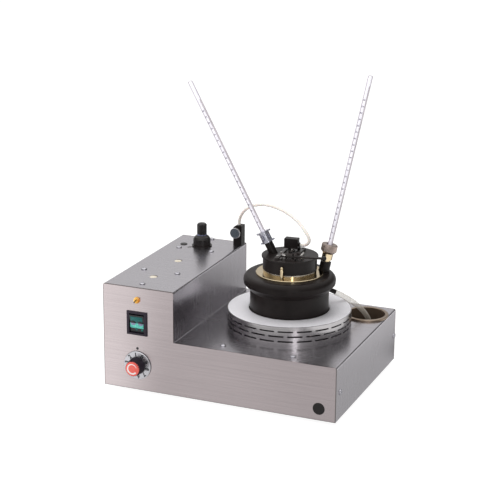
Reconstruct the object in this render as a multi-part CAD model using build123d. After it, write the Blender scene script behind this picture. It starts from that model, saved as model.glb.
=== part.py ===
from build123d import *
from math import atan2, cos, degrees, hypot, pi, radians, sin, tan
import os

# Closed-cup flash point tester: a stainless bench case with a tall control tower on the left and
# a low deck on the right.  A vented ring on the deck holds the heated water bath, the bath holds
# the test cup, and the cup carries the lid with its shutter, jet, lever and thermometer.
#
# Everything is drawn in the case frame: x from the case's left side, y from its front face towards
# the back, z up from its bottom edge, in millimetres.  The export moves it so that the origin is
# the centre of the whole object's footprint, at the level of the feet.

# ---- driving dimensions -------------------------------------------------------------------------

# sheet-metal case
CASE_W = 325.0
CASE_D = 248.0
TOWER_H = 142.0
TOWER_W = 101.5
DECK_H = 73.0
SHEET = 1.5
FOLD_R = 2.5            # outside radius of a fold
SHEET_GAP = 0.1         # between a flange and the cover over it
FLANGE_W = 24.0
TRAY_H = 15.0

# feet
FOOT_R = 10.0
FOOT_H = 6.0
FOOT_TAPER = 1.5
FOOT_INSET = 26.0

# pan head screws of the case
SCREW_HEAD_R = 3.2
SCREW_HEAD_H = 2.0
SCREW_SHANK_R = 1.7
SCREW_LENGTH = 8.0
SCREW_CLEARANCE = 0.1
SCREW_EDGE = 17.0       # from the front and back faces
SIDE_SCREW_EDGE = 5.5   # the rear screw of each side sits closer to the edge
SIDE_SCREW_Z = 35.5
DECK_SCREW_OUT = (-48.9, 47.6)      # from the cup's axis
MID_OFFSET = 1.25       # the controls sit this far left of the tower's middle
TOWER_SCREW_OUT = (-26.0, 23.5)     # from the line of the controls
TOWER_SCREW_FRONT = 75.0
TOWER_SCREW_BACK = 61.0
REAR_SCREW_EDGE = 5.0

# front controls
LENS_DROP = 17.4        # below the tower's top
LENS_R = 4.9
LENS_FLANGE_H = 1.2
LENS_H = 5.0
LENS_FACETS = 8
LAMP_R = 4.0
LAMP_L = 26.0
SWITCH_DROP = 49.2
BEZEL_W = 29.4
BEZEL_H = 32.4
BEZEL_T = 2.2
SWITCH_BODY_W = 25.4
SWITCH_BODY_H = 28.4
SWITCH_BODY_D = 27.0
SWITCH_WELL = 10.0      # depth of the rocker's well behind the panel's face
ROCKER_W = 20.8
ROCKER_H = 25.0
ROCKER_EDGE = 1.2       # the rocker's ends stand this far proud
ROCKER_RIDGE = 0.4
ROCKER_SIDE = 3.6
ROCKER_BACK = 6.0
ROCKER_TAPER = 0.8
ROCKER_TILT = 8.0       # each way from level
ROCKER_GAP = 0.4
TRUNNION_DEPTH = 2.5    # of the rocker's axle behind the panel's face
ROCKER_PIN_R = 1.2
ROCKER_PIN_IN = 1.2     # into each side of the well
DIAL_Z = 34.5
DIAL_R = 19.5
DIAL_T = 1.4
DIAL_GAP = 0.8
KNOB_BASE_R = 12.0
KNOB_FRONT_R = 10.2
KNOB_PROUD = 16.0       # knob face to front panel
KNOB_FLUTES = 24
FLUTE_R = 0.75
CAP_R = 9.8
CAP_T = 1.6
CAP_PROUD = 0.8
SPINDLE_R = 3.0
SPINDLE_IN_KNOB = 9.0
REGULATOR_W = 34.0
REGULATOR_H = 36.0
REGULATOR_D = 24.0
BUSH_R = 4.7
BUSH_PROUD = 0.4

# tower-top fittings
PLUG_R = 3.4
PLUG_HEAD_H = 0.9
PLUG_HOLE_R = 2.6
PLUG_DEPTH = 5.0
PLUG_Y = (50.6, 128.4)
SMALL_PLUG_OUT = (-13.0, -14.0)     # from the gas valve
BLANK_PLUG_OUT = (-26.8, -3.0)
BLANK_PLUG_R = 5.0
VALVE_EDGE_Y = 40.0     # valve axis from the back
VALVE_FLANGE_R = 14.2
VALVE_FLANGE_H = 1.6
VALVE_BELL_R = 12.3
VALVE_BELL_H = 9.0      # straight part of the bell above the flange
VALVE_NECK_R = 7.6
VALVE_BELL_TOP = 16.0
VALVE_BAND_R = 7.1
VALVE_BAND_H = 1.6
VALVE_KNOB_R = 6.9
VALVE_KNOB_H = 15.4
VALVE_KNOB_LOBES = 6
VALVE_STEM_R = 2.5
VALVE_TAIL_R = 5.0
VALVE_TAIL_L = 30.0
POST_EDGE_X = 6.8       # post axis from the tower's right side
POST_EDGE_Y = 11.7      # post axis from the back
POST_W = 12.6
POST_H = 28.7
POST_CHAMFER = (4.0, 2.6)
FLOW_SCREW_Z = 20.0     # above the tower top
FLOW_HEAD_R = 7.7
FLOW_HEAD_T = 2.6
FLOW_REACH = 16.0       # post axis to the head's front face
FLOW_SHANK_R = 2.2
FLOW_CLEARANCE = 0.08

# rear fittings
INLET_SPIGOT_R = 3.2
INLET_SPIGOT_L = 16.0
INLET_HEX = 14.0
INLET_HEX_T = 5.0
INLET_STEM_R = 4.0
INLET_BORE_R = 1.6
INLET_STEM_L = 14.0
PIPE_SEAT_L = 6.0
PIPE_R = 2.4
PIPE_BEND = 7.5
PIPE_STRAIGHT = 0.5
OUTLET_RISE = 10.0      # of the outlet pipe above the valve's tail end
OUTLET_BEND = 10.0
PIPE_IN_POST = 4.0
MAINS_Z = 34.0
MAINS_W = 27.4
MAINS_H = 19.6
MAINS_FLANGE = (50.0, 24.0)
MAINS_FLANGE_T = 2.4
MAINS_DEPTH = 22.0
MAINS_SOCKET = (24.0, 16.4, 15.0)
MAINS_PIN = (1.6, 4.0, 12.0)
MAINS_PIN_PITCH = 7.0
MAINS_SCREW_PITCH = 40.0

# heater under the bath
TOWER_TO_RING = 28.9
RING_TO_SIDE = 28.6
CUP_TO_BACK = 121.0
RING_H = 25.5
RING_WALL = 1.2
SLOTS_PER_ROW = 21
SLOT_SHARE = 0.8        # of a slot in its pitch
SLOT_H = 2.0
SLOT_ROWS = (6.3, 12.9, 19.6)   # below the top of the band
SLOT_TURN = 9.0         # where a gap of the first row stands, from the front
COVER_T = 1.5
COVER_SKIRT_H = 3.5
COVER_HOLE_R = 54.0
HEATER_R = 52.0
HEATER_T = 12.0
HEATER_LEG_R = 4.0
HEATER_LEG_PCD = 88.0
HEATER_LEGS = 3
DECK_HOLE_R = 58.0

# water bath
BATH_R = 52.5
BATH_WALL = 2.5
BATH_LIFT = 15.5        # bath floor above the deck
BATH_BODY_H = 36.0      # straight wall below the collar
COLLAR_H = 22.0
COLLAR_R = 61.5
COLLAR_SLOPE_H = 9.0
COLLAR_SLOPE_IN = 0.6
COLLAR_ROUND = 8.5
BATH_EASE = 0.1         # keeps the round just short of the widest point
SEAT_RING_R = 45.0
SEAT_RING_T = 2.0
SEAT_NECK_R = 35.5
SEAT_NECK_H = 3.0
CUP_CLEARANCE = 0.6
SPOUT_DROP = 28.0       # degrees below level
SPOUT_BELOW_COLLAR = 3.9
SPOUT_ROOT = 0.6        # from the inside of the bath's wall
SPOUT_L = 18.6
SPOUT_R = 3.1
SPOUT_BORE_R = 2.2
PIN_RADIUS = 39.0       # locking pin from the cup axis
PIN_TURN = -85.0
PIN_R = 2.2
PIN_H = 18.0
PIN_HEAD_R = 1.9

# bath thermometer and its gland
GLAND_RADIUS = 45.7
GLAND_TURN = 31.3
GLAND_LEAN = 12.1
BOSS_R = 7.2
BOSS_H = 14.6
BOSS_ROOT = 4.0         # how far the boss reaches down through the collar's top
BOSS_NOTCH = 0.4
GLAND_NECK_R = 4.6
GLAND_NECK_H = 2.8
GLAND_HEX = 13.3
GLAND_HEX_H = 8.2
NUT_R = 10.6
NUT_H = 12.8
NUT_CHAMFER = 3.6
NUT_BORE_R = 4.8
NUT_BORE_H = 6.0

# thermometers
STEM_R = 3.2
STEM_GAP = 0.06
BULB_R = 2.6
BULB_L = 14.0
TIP_R = 1.8
BATH_THERMO_ABOVE = 229.5
BATH_THERMO_BELOW = 59.0    # below the top of the nut
CUP_THERMO_ABOVE = 221.0
CUP_THERMO_BELOW = 44.0     # below the lid's top, along the stem

# overflow vessel
VESSEL_TO_SIDE = 29.2   # vessel axis from the case's right side
VESSEL_TO_RING = 2.0    # rim to vented ring
VESSEL_R = 26.0
VESSEL_WALL = 0.8
VESSEL_RIM_R = 30.0
VESSEL_RIM_H = 2.7
VESSEL_DEPTH = 56.0
VESSEL_CLEARANCE = 0.4

# test cup
CUP_R = 27.0
CUP_WALL = 1.2
CUP_DEPTH = 56.0
CUP_FLOOR_T = 1.4
FLANGE_T = 1.5
RIM_ABOVE_FLANGE = 15.8

# lid
LID_TURN = 5.0          # how far the lid is set round on the cup
LID_SKIRT_R = 36.0
LID_FLANGE_R = 37.6
LID_FLANGE_T = 2.3
LID_TOP_T = 3.0
LID_GAP = 0.3
PORT_W = 8.0
PORT_L = 5.6
PORT_Y = 4.0
PORT_CORNER = 2.0
SIDE_PORT_R = 1.8
SIDE_PORT_X = 6.8
PORT_LAP = 0.15         # of the closed slide over the ports
RAIL_H = 3.2
RAIL_LEFT_X = (-12.8, -7.2)
RAIL_LEFT_Y = (-29.0, 14.0)
RAIL_RIGHT_X = (8.8, 14.2)
RAIL_RIGHT_Y = (-1.5, 26.5)
RAIL_LIP = 1.5
RAIL_CHAMFER = 0.4
RAIL_SCREW_IN = 2.3
RAIL_LEFT_SCREW_Y = (-23.0, -6.0)
RAIL_RIGHT_SCREW_Y = (1.5, 23.5)
SLIDE_T = 1.5
SLIDE_GAP = 0.15
SLIDE_Y = (-28.0, 15.4)
SLIDE_EAR_X = 13.5      # the ear that the lever's pin drives
SLIDE_EAR_BACK = -12.0
LID_SCREW_R = 1.6
LID_SCREW_HEAD_H = 1.0
LID_SCREW_IN = 2.0      # screwed into the lid
LID_SCREW_XY = (21.5, -16.0)        # the one screw that stands on the lid itself

# lever that works the shutter
PIVOT_X = -1.2
PIVOT_Y = -25.0
LEVER_Z = 4.0           # underside above the lid's top
LEVER_T = 2.0
LEVER_W = 5.4
LEVER_L = 52.8
LEVER_ANGLE = 6.3       # at rest, in the lid's frame
LEVER_TRAVEL = 35.0
BALL_R = 3.2
DRIVE_R = 12.0
DRIVE_ANGLE = 5.0
DRIVE_PIN_R = 1.3
DRIVE_PIN_TOP = 3.0      # above the lever
DRIVE_GAP = 0.3
PIVOT_R = 1.8
PIVOT_GAP = 0.06
PIVOT_SHOULDER = 0.8
SLIDE_ROOM = 0.3
PIVOT_HEAD_R = 3.2
PIVOT_HEAD_H = 1.4
SPRING_POST_X = 19.5
SPRING_POST_Y = -5.0
SPRING_POST_R = 1.0
SPRING_R = 1.4
SPRING_GAP = 0.1

# jet block
JET_X = (-10.3, 8.4)
JET_Y = (6.5, 16.5)
JET_Z = (6.2, 19.4)
JET_EDGE = 0.4
JET_PIVOT_Y = 20.5
JET_PIVOT_Z = 8.0
JET_ARM_W = 9.0
JET_ARM_H = 5.0
TRUNNION_R = 1.8
TRUNNION_GAP = 0.06
BRACKET_T = 2.4
BRACKET_W = 6.6
BRACKET_X = 5.2         # inner face of each bracket from the jet's middle
BRACKET_TOP = 11.4
TIP_Y = 3.4
TIP_Z = 3.3
TIP_R = 1.0
TIP_DISC_R = 4.6
TIP_DISC_T = 0.8
TIP_DISC_Z = 4.4
TIP_DISC_XY = (0.5, 4.0)
TIP_NECK_R = 1.3
TIP_NECK_Y = 7.0
JET_INLET_Y = 12.0
JET_INLET_Z = 10.4
JET_INLET_L = 2.5
JET_GROOVES = 3
JET_GROOVE_PITCH = 1.9
JET_GROOVE_DEEP = 0.8

# cup thermometer's socket and ferrule
SOCKET_X = -23.6
SOCKET_Y = 1.6
SOCKET_LEAN = 27.6
SOCKET_R = 5.6
SOCKET_L = 15.7
SOCKET_ROOT = 2.2
FERRULE_R = 7.0
FERRULE_FLANGE_R = 8.2
FERRULE_FLANGE_T = 2.2
FERRULE_L = 15.6
FERRULE_LUG = (3.0, 3.4)
FERRULE_SLOT = (3.0, 7.4)

# gas tube from the post to the jet, and drain tube from the spout into the vessel
GAS_TUBE_R = 2.15
DRAIN_TUBE_R = 3.6
ARC_SHARE = 0.45        # an arc may use this share of the shorter run beside it

# ---- worked-out places --------------------------------------------------------------------------

TOWER_MID_X = TOWER_W / 2 - MID_OFFSET
LENS_Z = TOWER_H - LENS_DROP
SWITCH_Z = TOWER_H - SWITCH_DROP
VALVE_Y = CASE_D - VALVE_EDGE_Y
INLET_Z = TOWER_H - VALVE_TAIL_L - PIPE_BEND - PIPE_STRAIGHT
RING_R = (CASE_W - TOWER_W - TOWER_TO_RING - RING_TO_SIDE) / 2
CUP_X = TOWER_W + TOWER_TO_RING + RING_R
CUP_Y = CASE_D - CUP_TO_BACK
BATH_FLOOR_Z = DECK_H + BATH_LIFT
COLLAR_Z = BATH_FLOOR_Z + BATH_BODY_H
COLLAR_TOP_Z = COLLAR_Z + COLLAR_H
VESSEL_REACH = RING_R + VESSEL_RIM_R + VESSEL_TO_RING
VESSEL_X = CASE_W - VESSEL_TO_SIDE
VESSEL_Y = CUP_Y + (VESSEL_REACH**2 - (VESSEL_X - CUP_X) ** 2) ** 0.5
SPOUT_TURN = degrees(atan2(VESSEL_Y - CUP_Y, VESSEL_X - CUP_X))
CUP_AXIS = Pos(CUP_X, CUP_Y, 0)
RING_TOP_Z = DECK_H + RING_H
SEAT_RING_TOP_Z = COLLAR_TOP_Z + SEAT_RING_T
SEAT_Z = SEAT_RING_TOP_Z + SEAT_NECK_H
CUP_FLANGE_TOP_Z = SEAT_Z + FLANGE_T
CUP_RIM_Z = CUP_FLANGE_TOP_Z + RIM_ABOVE_FLANGE
LID_TOP_Z = CUP_RIM_Z + LID_TOP_T
LID = Pos(CUP_X, CUP_Y, LID_TOP_Z) * Rot(0, 0, LID_TURN)
POST_X = TOWER_W - POST_EDGE_X
POST_Y = CASE_D - POST_EDGE_Y
POST_TOP_Z = TOWER_H + POST_H
REAR_REACH = CASE_D + INLET_HEX_T + INLET_SPIGOT_L
MID_Y = (REAR_REACH - KNOB_PROUD - CAP_PROUD) / 2
TO_ORIGIN = Pos(-CASE_W / 2, -MID_Y, FOOT_H)

GLAND = (
    CUP_AXIS
    * Rot(0, 0, GLAND_TURN)
    * Pos(GLAND_RADIUS, 0, COLLAR_TOP_Z)
    * Rot(0, GLAND_LEAN, 0)
)
GLAND_HEX_TOP = BOSS_H + GLAND_NECK_H + GLAND_HEX_H
NUT_TOP = GLAND_HEX_TOP + NUT_H
SOCKET = LID * Pos(SOCKET_X, SOCKET_Y, 0) * Rot(0, -SOCKET_LEAN, 0)
FERRULE_TOP = SOCKET_L + FERRULE_L
SPOUT_AIM = Rot(0, 0, SPOUT_TURN)

GAS_RISE = 5.8           # the tube leaves the post upwards
GAS_ROUTE = (            # from the top of the post
    (3.3, -2.3, 13.8),
    (9.5, -6.6, 22.5),
    (19.8, -13.7, 31.1),
    (34.8, -24.1, 38.9),
    (54.8, -37.9, 45.1),
    (76.8, -53.1, 47.1),
    (98.3, -68.0, 45.5),
    (116.3, -80.3, 40.7),
    (129.3, -89.3, 33.1),
    (137.9, -94.0, 24.9),
    (141.2, -95.4, 17.6),
)
GAS_ENTRY = 6.6          # the tube runs straight into the jet
DRAIN_EXIT = 12.5        # the tube runs straight out of the spout
DRAIN_ROUTE = (          # outwards from the vessel's axis, and above the deck
    (-23.4, 25.2),
    (-11.0, 15.0),
    (-1.6, 2.2),
    (4.2, -12.0),
    (6.4, -26.0),
)


# ---- helpers ------------------------------------------------------------------------------------

def along_y(radius, length, y=0.0):
    """A round bar that runs from y towards the back."""
    return Pos(0, y, 0) * Rot(-90, 0, 0) * Cylinder(radius, length, align=UPRIGHT)


UPRIGHT = (Align.CENTER, Align.CENTER, Align.MIN)
HANGING = (Align.CENTER, Align.CENTER, Align.MAX)


def post(radius, z_low, z_high):
    """An upright round bar between two heights."""
    return Pos(0, 0, z_low) * Cylinder(radius, z_high - z_low, align=UPRIGHT)


def block(x, y, z):
    """A block given by its low and high value on each axis."""
    low = Pos(x[0], y[0], z[0])
    corner = (Align.MIN, Align.MIN, Align.MIN)
    return low * Box(x[1] - x[0], y[1] - y[0], z[1] - z[0], align=corner)


def turned(points):
    """The solid that a profile of (radius, height) points sweeps round the z axis."""
    return revolve(Plane.XZ * make_face(Polyline(*points, close=True)), Axis.Z)


def pan_screw():
    """A pan head screw: head above z = 0, shank below."""
    dome = [
        (0, -SCREW_LENGTH),
        (SCREW_SHANK_R, -SCREW_LENGTH),
        (SCREW_SHANK_R, 0),
        (SCREW_HEAD_R, 0),
        (SCREW_HEAD_R, SCREW_HEAD_H * 0.45),
        (SCREW_HEAD_R * 0.72, SCREW_HEAD_H * 0.9),
        (0, SCREW_HEAD_H),
    ]
    return turned(dome)


def screw_hole():
    return post(SCREW_SHANK_R + SCREW_CLEARANCE, -2 * SCREW_LENGTH, SCREW_LENGTH)


def hexagon(across_flats, height):
    return extrude(RegularPolygon(across_flats / 2, 6, major_radius=False), height)


# ---- case ---------------------------------------------------------------------------------------

def case_face(inset):
    """The stepped outline of the case seen from the front, moved inwards by inset."""
    left, right = inset, CASE_W - inset
    tower_top, deck_top = TOWER_H - inset, DECK_H - inset
    tower_right = TOWER_W - inset
    corners = [
        (left, 0),
        (left, tower_top),
        (tower_right, tower_top),
        (tower_right, deck_top),
        (right, deck_top),
        (right, 0),
    ]
    face = make_face(Polyline(*corners, close=True))
    outer_fold = FOLD_R - min(inset, SHEET)
    folds = face.vertices().filter_by_position(Axis.Y, deck_top - 1, tower_top + 1)
    inner = folds.sort_by_distance((tower_right, deck_top, 0))[0]
    face = fillet([v for v in folds if v is not inner], outer_fold)
    inner = face.vertices().sort_by_distance((tower_right, deck_top, 0))[0]
    return fillet(inner, FOLD_R - SHEET + min(inset, SHEET))


def sheet_between(outer, inner, y_front, y_back):
    """A folded strip between two insets of the case outline."""
    strip = Plane.XZ * (case_face(outer) - case_face(inner))
    return Pos(0, y_back, 0) * extrude(strip, y_back - y_front)


def deck_screw_places():
    rows = (SCREW_EDGE, CASE_D - SCREW_EDGE)
    return [Pos(CUP_X + out, y, DECK_H) for out in DECK_SCREW_OUT for y in rows]


def tower_screw_places():
    rows = (TOWER_SCREW_FRONT, CASE_D - TOWER_SCREW_BACK)
    places = [Pos(TOWER_MID_X + out, y, TOWER_H) for out in TOWER_SCREW_OUT for y in rows]
    places.append(Pos(TOWER_MID_X, SCREW_EDGE, TOWER_H))
    places.append(Pos(TOWER_MID_X, CASE_D - REAR_SCREW_EDGE, TOWER_H))
    return places


def side_screw_places():
    rows = (SCREW_EDGE, CASE_D - SIDE_SCREW_EDGE)
    right = [Pos(CASE_W, y, SIDE_SCREW_Z) * Rot(0, 90, 0) for y in rows]
    left = [Pos(0, y, SIDE_SCREW_Z) * Rot(0, -90, 0) for y in rows]
    return right + left


def case_screw_holes():
    places = deck_screw_places() + tower_screw_places() + side_screw_places()
    return [place * screw_hole() for place in places]


def make_cover():
    """The folded skin: left side, tower top, inner wall, deck and right side."""
    cover = sheet_between(0, SHEET, SHEET, CASE_D - SHEET)
    cuts = case_screw_holes()
    cuts += [place * post(PLUG_HOLE_R, -PLUG_DEPTH, PLUG_DEPTH) for place in plug_places()]
    cuts.append(blank_plug_place() * post(PLUG_HOLE_R, -PLUG_DEPTH, PLUG_DEPTH))
    cuts.append(valve_place() * post(VALVE_TAIL_R + SHEET_GAP, -SHEET * 2, SHEET))
    cuts.append(post_place() * post(PIPE_R + SHEET_GAP, -SHEET * 2, SHEET))
    cuts.append(Pos(CUP_X, CUP_Y, DECK_H) * post(DECK_HOLE_R, -SHEET * 2, SHEET))
    well = post(VESSEL_R + VESSEL_CLEARANCE, -SHEET * 2, SHEET)
    cuts.append(Pos(VESSEL_X, VESSEL_Y, DECK_H) * well)
    return cover - cuts


def make_front_panel():
    panel = Pos(0, SHEET, 0) * extrude(Plane.XZ * case_face(0), SHEET)
    inner = SHEET + SHEET_GAP
    panel += sheet_between(inner, inner + SHEET, SHEET, FLANGE_W)
    panel -= block((0, CASE_W), (SHEET, FLANGE_W + 1), (0, TRAY_H + SHEET))
    cuts = case_screw_holes()
    cuts.append(Pos(TOWER_MID_X, 0, LENS_Z) * along_y(LAMP_R + SHEET_GAP, SHEET * 2, -SHEET / 2))
    cuts.append(
        Pos(TOWER_MID_X, 0, SWITCH_Z)
        * Box(SWITCH_BODY_W + 2 * SHEET_GAP, SHEET * 4, SWITCH_BODY_H + 2 * SHEET_GAP)
    )
    cuts.append(Pos(TOWER_MID_X, 0, DIAL_Z) * along_y(BUSH_R + SHEET_GAP, SHEET * 2, -SHEET / 2))
    return panel - cuts


def make_rear_panel():
    panel = Pos(0, CASE_D, 0) * extrude(Plane.XZ * case_face(0), SHEET)
    inner = SHEET + SHEET_GAP
    panel += sheet_between(inner, inner + SHEET, CASE_D - FLANGE_W, CASE_D - SHEET)
    panel -= block((0, CASE_W), (CASE_D - FLANGE_W - 1, CASE_D - SHEET), (0, TRAY_H + SHEET))
    cuts = case_screw_holes()
    for place in mains_screw_places():
        cuts.append(place * screw_hole())
    cuts.append(
        Pos(TOWER_MID_X, CASE_D, MAINS_Z)
        * Box(MAINS_W + 2 * SHEET_GAP, SHEET * 4, MAINS_H + 2 * SHEET_GAP)
    )
    cuts.append(Pos(TOWER_MID_X, 0, INLET_Z) * along_y(INLET_STEM_R + SHEET_GAP, SHEET * 3, CASE_D - SHEET * 2))
    well = post(VESSEL_R + VESSEL_CLEARANCE, 0, DECK_H + SHEET)
    cuts.append(Pos(VESSEL_X, VESSEL_Y, 0) * well)
    cuts.append(Pos(POST_X, POST_Y, 0) * post(PIPE_R + SHEET_GAP, DECK_H, TOWER_H + SHEET))
    return panel - cuts


def make_base_plate():
    """A shallow tray that closes the case from below."""
    inner = SHEET + SHEET_GAP
    across = (inner, CASE_W - inner)
    deep = (SHEET, CASE_D - SHEET)
    tray = block(across, deep, (0, TRAY_H))
    hollow = block((inner + SHEET, CASE_W - inner - SHEET), (0, CASE_D), (SHEET, TRAY_H + 1))
    return tray - hollow


def make_rubber_feet():
    cone = Cone(FOOT_R - FOOT_TAPER, FOOT_R, FOOT_H, align=HANGING)
    columns = (FOOT_INSET, CASE_W - FOOT_INSET)
    rows = (FOOT_INSET, CASE_D - FOOT_INSET)
    return [Pos(x, y, 0) * cone for x in columns for y in rows]


# ---- front controls -----------------------------------------------------------------------------

def front(z):
    """A point on the front panel, with +z pointing out of the panel towards the user."""
    return Pos(TOWER_MID_X, 0, z) * Rot(90, 0, 0)


def make_indicator_lens():
    rim = post(LENS_R, 0, LENS_FLANGE_H)
    waist = RegularPolygon(LENS_R, LENS_FACETS)
    crown = RegularPolygon(LENS_R * 0.42, LENS_FACETS)
    jewel = loft([Pos(0, 0, LENS_FLANGE_H) * waist, Pos(0, 0, LENS_H) * crown])
    return front(LENS_Z) * (rim + jewel)


def make_indicator_body():
    return front(LENS_Z) * post(LAMP_R, -LAMP_L, 0)


def rocker_axle(radius, reach):
    """The line that the rocker tilts about, as a bar across the switch."""
    return Pos(0, 0, -TRUNNION_DEPTH) * Rot(0, 90, 0) * Cylinder(radius, reach)


def make_switch_body():
    bezel = Box(BEZEL_W, BEZEL_H, BEZEL_T, align=UPRIGHT)
    bezel = chamfer(bezel.faces().sort_by(Axis.Z)[-1].edges(), BEZEL_T * 0.4)
    body = Box(SWITCH_BODY_W, SWITCH_BODY_H, SWITCH_BODY_D, align=HANGING)
    well_w, well_h = ROCKER_W + 2 * ROCKER_GAP, ROCKER_H + 3 * ROCKER_GAP
    well = Pos(0, 0, -SWITCH_WELL) * Box(well_w, well_h, SWITCH_WELL + 2 * BEZEL_T, align=UPRIGHT)
    bearing = rocker_axle(ROCKER_PIN_R + STEM_GAP, well_w + 2 * (ROCKER_PIN_IN + ROCKER_GAP))
    return front(SWITCH_Z) * (bezel + body - well - bearing)


def make_switch_rocker():
    """A rocker with two shallow faces that meet at a ridge, tilted to its on position."""
    half = ROCKER_H / 2 - ROCKER_GAP
    low = half - ROCKER_TAPER
    face = [
        (-half, ROCKER_EDGE),
        (0, ROCKER_RIDGE),
        (half, ROCKER_EDGE),
        (low, -ROCKER_SIDE),
        (0, -ROCKER_BACK),
        (-low, -ROCKER_SIDE),
    ]
    side = Plane.YZ * make_face(Polyline(*face, close=True))
    rocker = Pos(-ROCKER_W / 2, 0, 0) * extrude(side, ROCKER_W)
    rocker += rocker_axle(ROCKER_PIN_R, ROCKER_W + 2 * (ROCKER_PIN_IN + ROCKER_GAP))
    axle = Pos(0, 0, -TRUNNION_DEPTH)
    return front(SWITCH_Z) * axle * Rot(ROCKER_TILT, 0, 0) * axle.inverse() * rocker


def make_control_dial():
    disc = post(DIAL_R, DIAL_GAP, DIAL_GAP + DIAL_T)
    disc = chamfer(disc.edges().sort_by(Axis.Z)[-1], DIAL_T * 0.5)
    return front(DIAL_Z) * (disc - post(SPINDLE_R, 0, KNOB_PROUD))


def make_control_knob():
    low = DIAL_GAP + DIAL_T
    body = Pos(0, 0, low) * Cone(KNOB_BASE_R, KNOB_FRONT_R, KNOB_PROUD - low, align=UPRIGHT)
    flare = atan2(KNOB_BASE_R - KNOB_FRONT_R, KNOB_PROUD - low)
    flute = Pos(KNOB_BASE_R, 0, low - 1) * Rot(0, -degrees(flare), 0) * post(FLUTE_R, 0, KNOB_PROUD)
    body -= PolarLocations(0, KNOB_FLUTES) * flute
    body -= post(CAP_R, KNOB_PROUD - CAP_T, KNOB_PROUD)
    return front(DIAL_Z) * (body - post(SPINDLE_R, 0, SPINDLE_IN_KNOB))


def make_knob_cap():
    cap = post(CAP_R, KNOB_PROUD - CAP_T, KNOB_PROUD + CAP_PROUD)
    cap = fillet(cap.edges().sort_by(Axis.Z)[-1], CAP_PROUD * 0.8)
    return front(DIAL_Z) * cap


def make_control_spindle():
    return front(DIAL_Z) * post(SPINDLE_R, -REGULATOR_D / 2, SPINDLE_IN_KNOB)


def make_energy_regulator():
    """The heater's control: a box behind the panel, held by its bush."""
    body = Pos(0, 0, -SHEET) * Box(REGULATOR_W, REGULATOR_H, REGULATOR_D, align=HANGING)
    body += post(BUSH_R, -SHEET, BUSH_PROUD)
    bore = post(SPINDLE_R + STEM_GAP, -REGULATOR_D / 2 - SHEET_GAP, DIAL_GAP)
    return front(DIAL_Z) * (body - bore)


# ---- tower-top fittings -------------------------------------------------------------------------

def plug_places():
    places = [Pos(TOWER_MID_X, y, TOWER_H) for y in PLUG_Y]
    places.append(valve_place() * Pos(*SMALL_PLUG_OUT, 0))
    return places


def blank_plug_place():
    return valve_place() * Pos(*BLANK_PLUG_OUT, 0)


def hole_plug(head_radius):
    head = post(head_radius, 0, PLUG_HEAD_H)
    head = chamfer(head.edges().sort_by(Axis.Z)[-1], PLUG_HEAD_H * 0.5)
    return head + post(PLUG_HOLE_R - SHEET_GAP, -PLUG_DEPTH, 0)


def make_top_plugs():
    return [place * hole_plug(PLUG_R) for place in plug_places()]


def make_blanking_plug():
    return blank_plug_place() * hole_plug(BLANK_PLUG_R)


def valve_place():
    return Pos(TOWER_MID_X, VALVE_Y, TOWER_H)


def make_gas_valve_body():
    """A bell-shaped bonnet on a flange, with the threaded tail below the panel."""
    bell = [
        (0, 0),
        (VALVE_FLANGE_R, 0),
        (VALVE_FLANGE_R, VALVE_FLANGE_H),
        (VALVE_BELL_R, VALVE_FLANGE_H),
        (VALVE_BELL_R, VALVE_FLANGE_H + VALVE_BELL_H),
        (VALVE_BELL_R - 1.6, VALVE_FLANGE_H + VALVE_BELL_H + 2.8),
        (VALVE_NECK_R, VALVE_BELL_TOP),
        (0, VALVE_BELL_TOP),
    ]
    body = turned(bell) + post(VALVE_TAIL_R, -VALVE_TAIL_L, 0)
    stem_hole = post(VALVE_STEM_R + STEM_GAP, VALVE_BELL_TOP - 8, VALVE_BELL_TOP + 1)
    return valve_place() * (body - stem_hole)


def make_gas_valve_band():
    band = post(VALVE_BAND_R, VALVE_BELL_TOP, VALVE_BELL_TOP + VALVE_BAND_H)
    stem_hole = post(VALVE_STEM_R + STEM_GAP, 0, VALVE_BELL_TOP + 4)
    return valve_place() * (band - stem_hole)


def make_gas_valve_knob():
    """A lobed knob with a dimpled top, and the stem that it turns."""
    low = VALVE_BELL_TOP + VALVE_BAND_H + STEM_GAP
    knob = post(VALVE_KNOB_R, low, low + VALVE_KNOB_H)
    top_edge = knob.edges().sort_by(Axis.Z)[-1]
    knob = chamfer(top_edge, 1.6)
    hollow = Pos(VALVE_KNOB_R + 1.4, 0, low + 2) * post(2.4, 0, VALVE_KNOB_H)
    knob -= PolarLocations(0, VALVE_KNOB_LOBES) * hollow
    knob -= Pos(0, 0, low + VALVE_KNOB_H + 5.0) * Sphere(6.0)
    knob += post(VALVE_STEM_R, VALVE_BELL_TOP - 6, low)
    return valve_place() * knob


def post_place():
    return Pos(POST_X, POST_Y, TOWER_H)


def flow_screw_place():
    """The flow screw's axis, with +z towards the user."""
    return post_place() * Pos(0, 0, FLOW_SCREW_Z) * Rot(90, 0, 0)


def make_gas_post():
    """The upright gas outlet, drilled for its flow screw and tipped with a spigot."""
    half = POST_W / 2
    side, drop = POST_CHAMFER
    outline = [
        (-half, 0),
        (half, 0),
        (half, POST_H),
        (-half + side, POST_H),
        (-half, POST_H - drop),
    ]
    column = Plane.XZ * make_face(Polyline(*outline, close=True))
    body = post_place() * Pos(0, half, 0) * extrude(column, POST_W)
    bore = flow_screw_place() * post(FLOW_SHANK_R + FLOW_CLEARANCE, -1.0, half + 1)
    gas_way = post_place() * post(PIPE_R, -1, PIPE_IN_POST)
    return body - bore - gas_way


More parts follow.
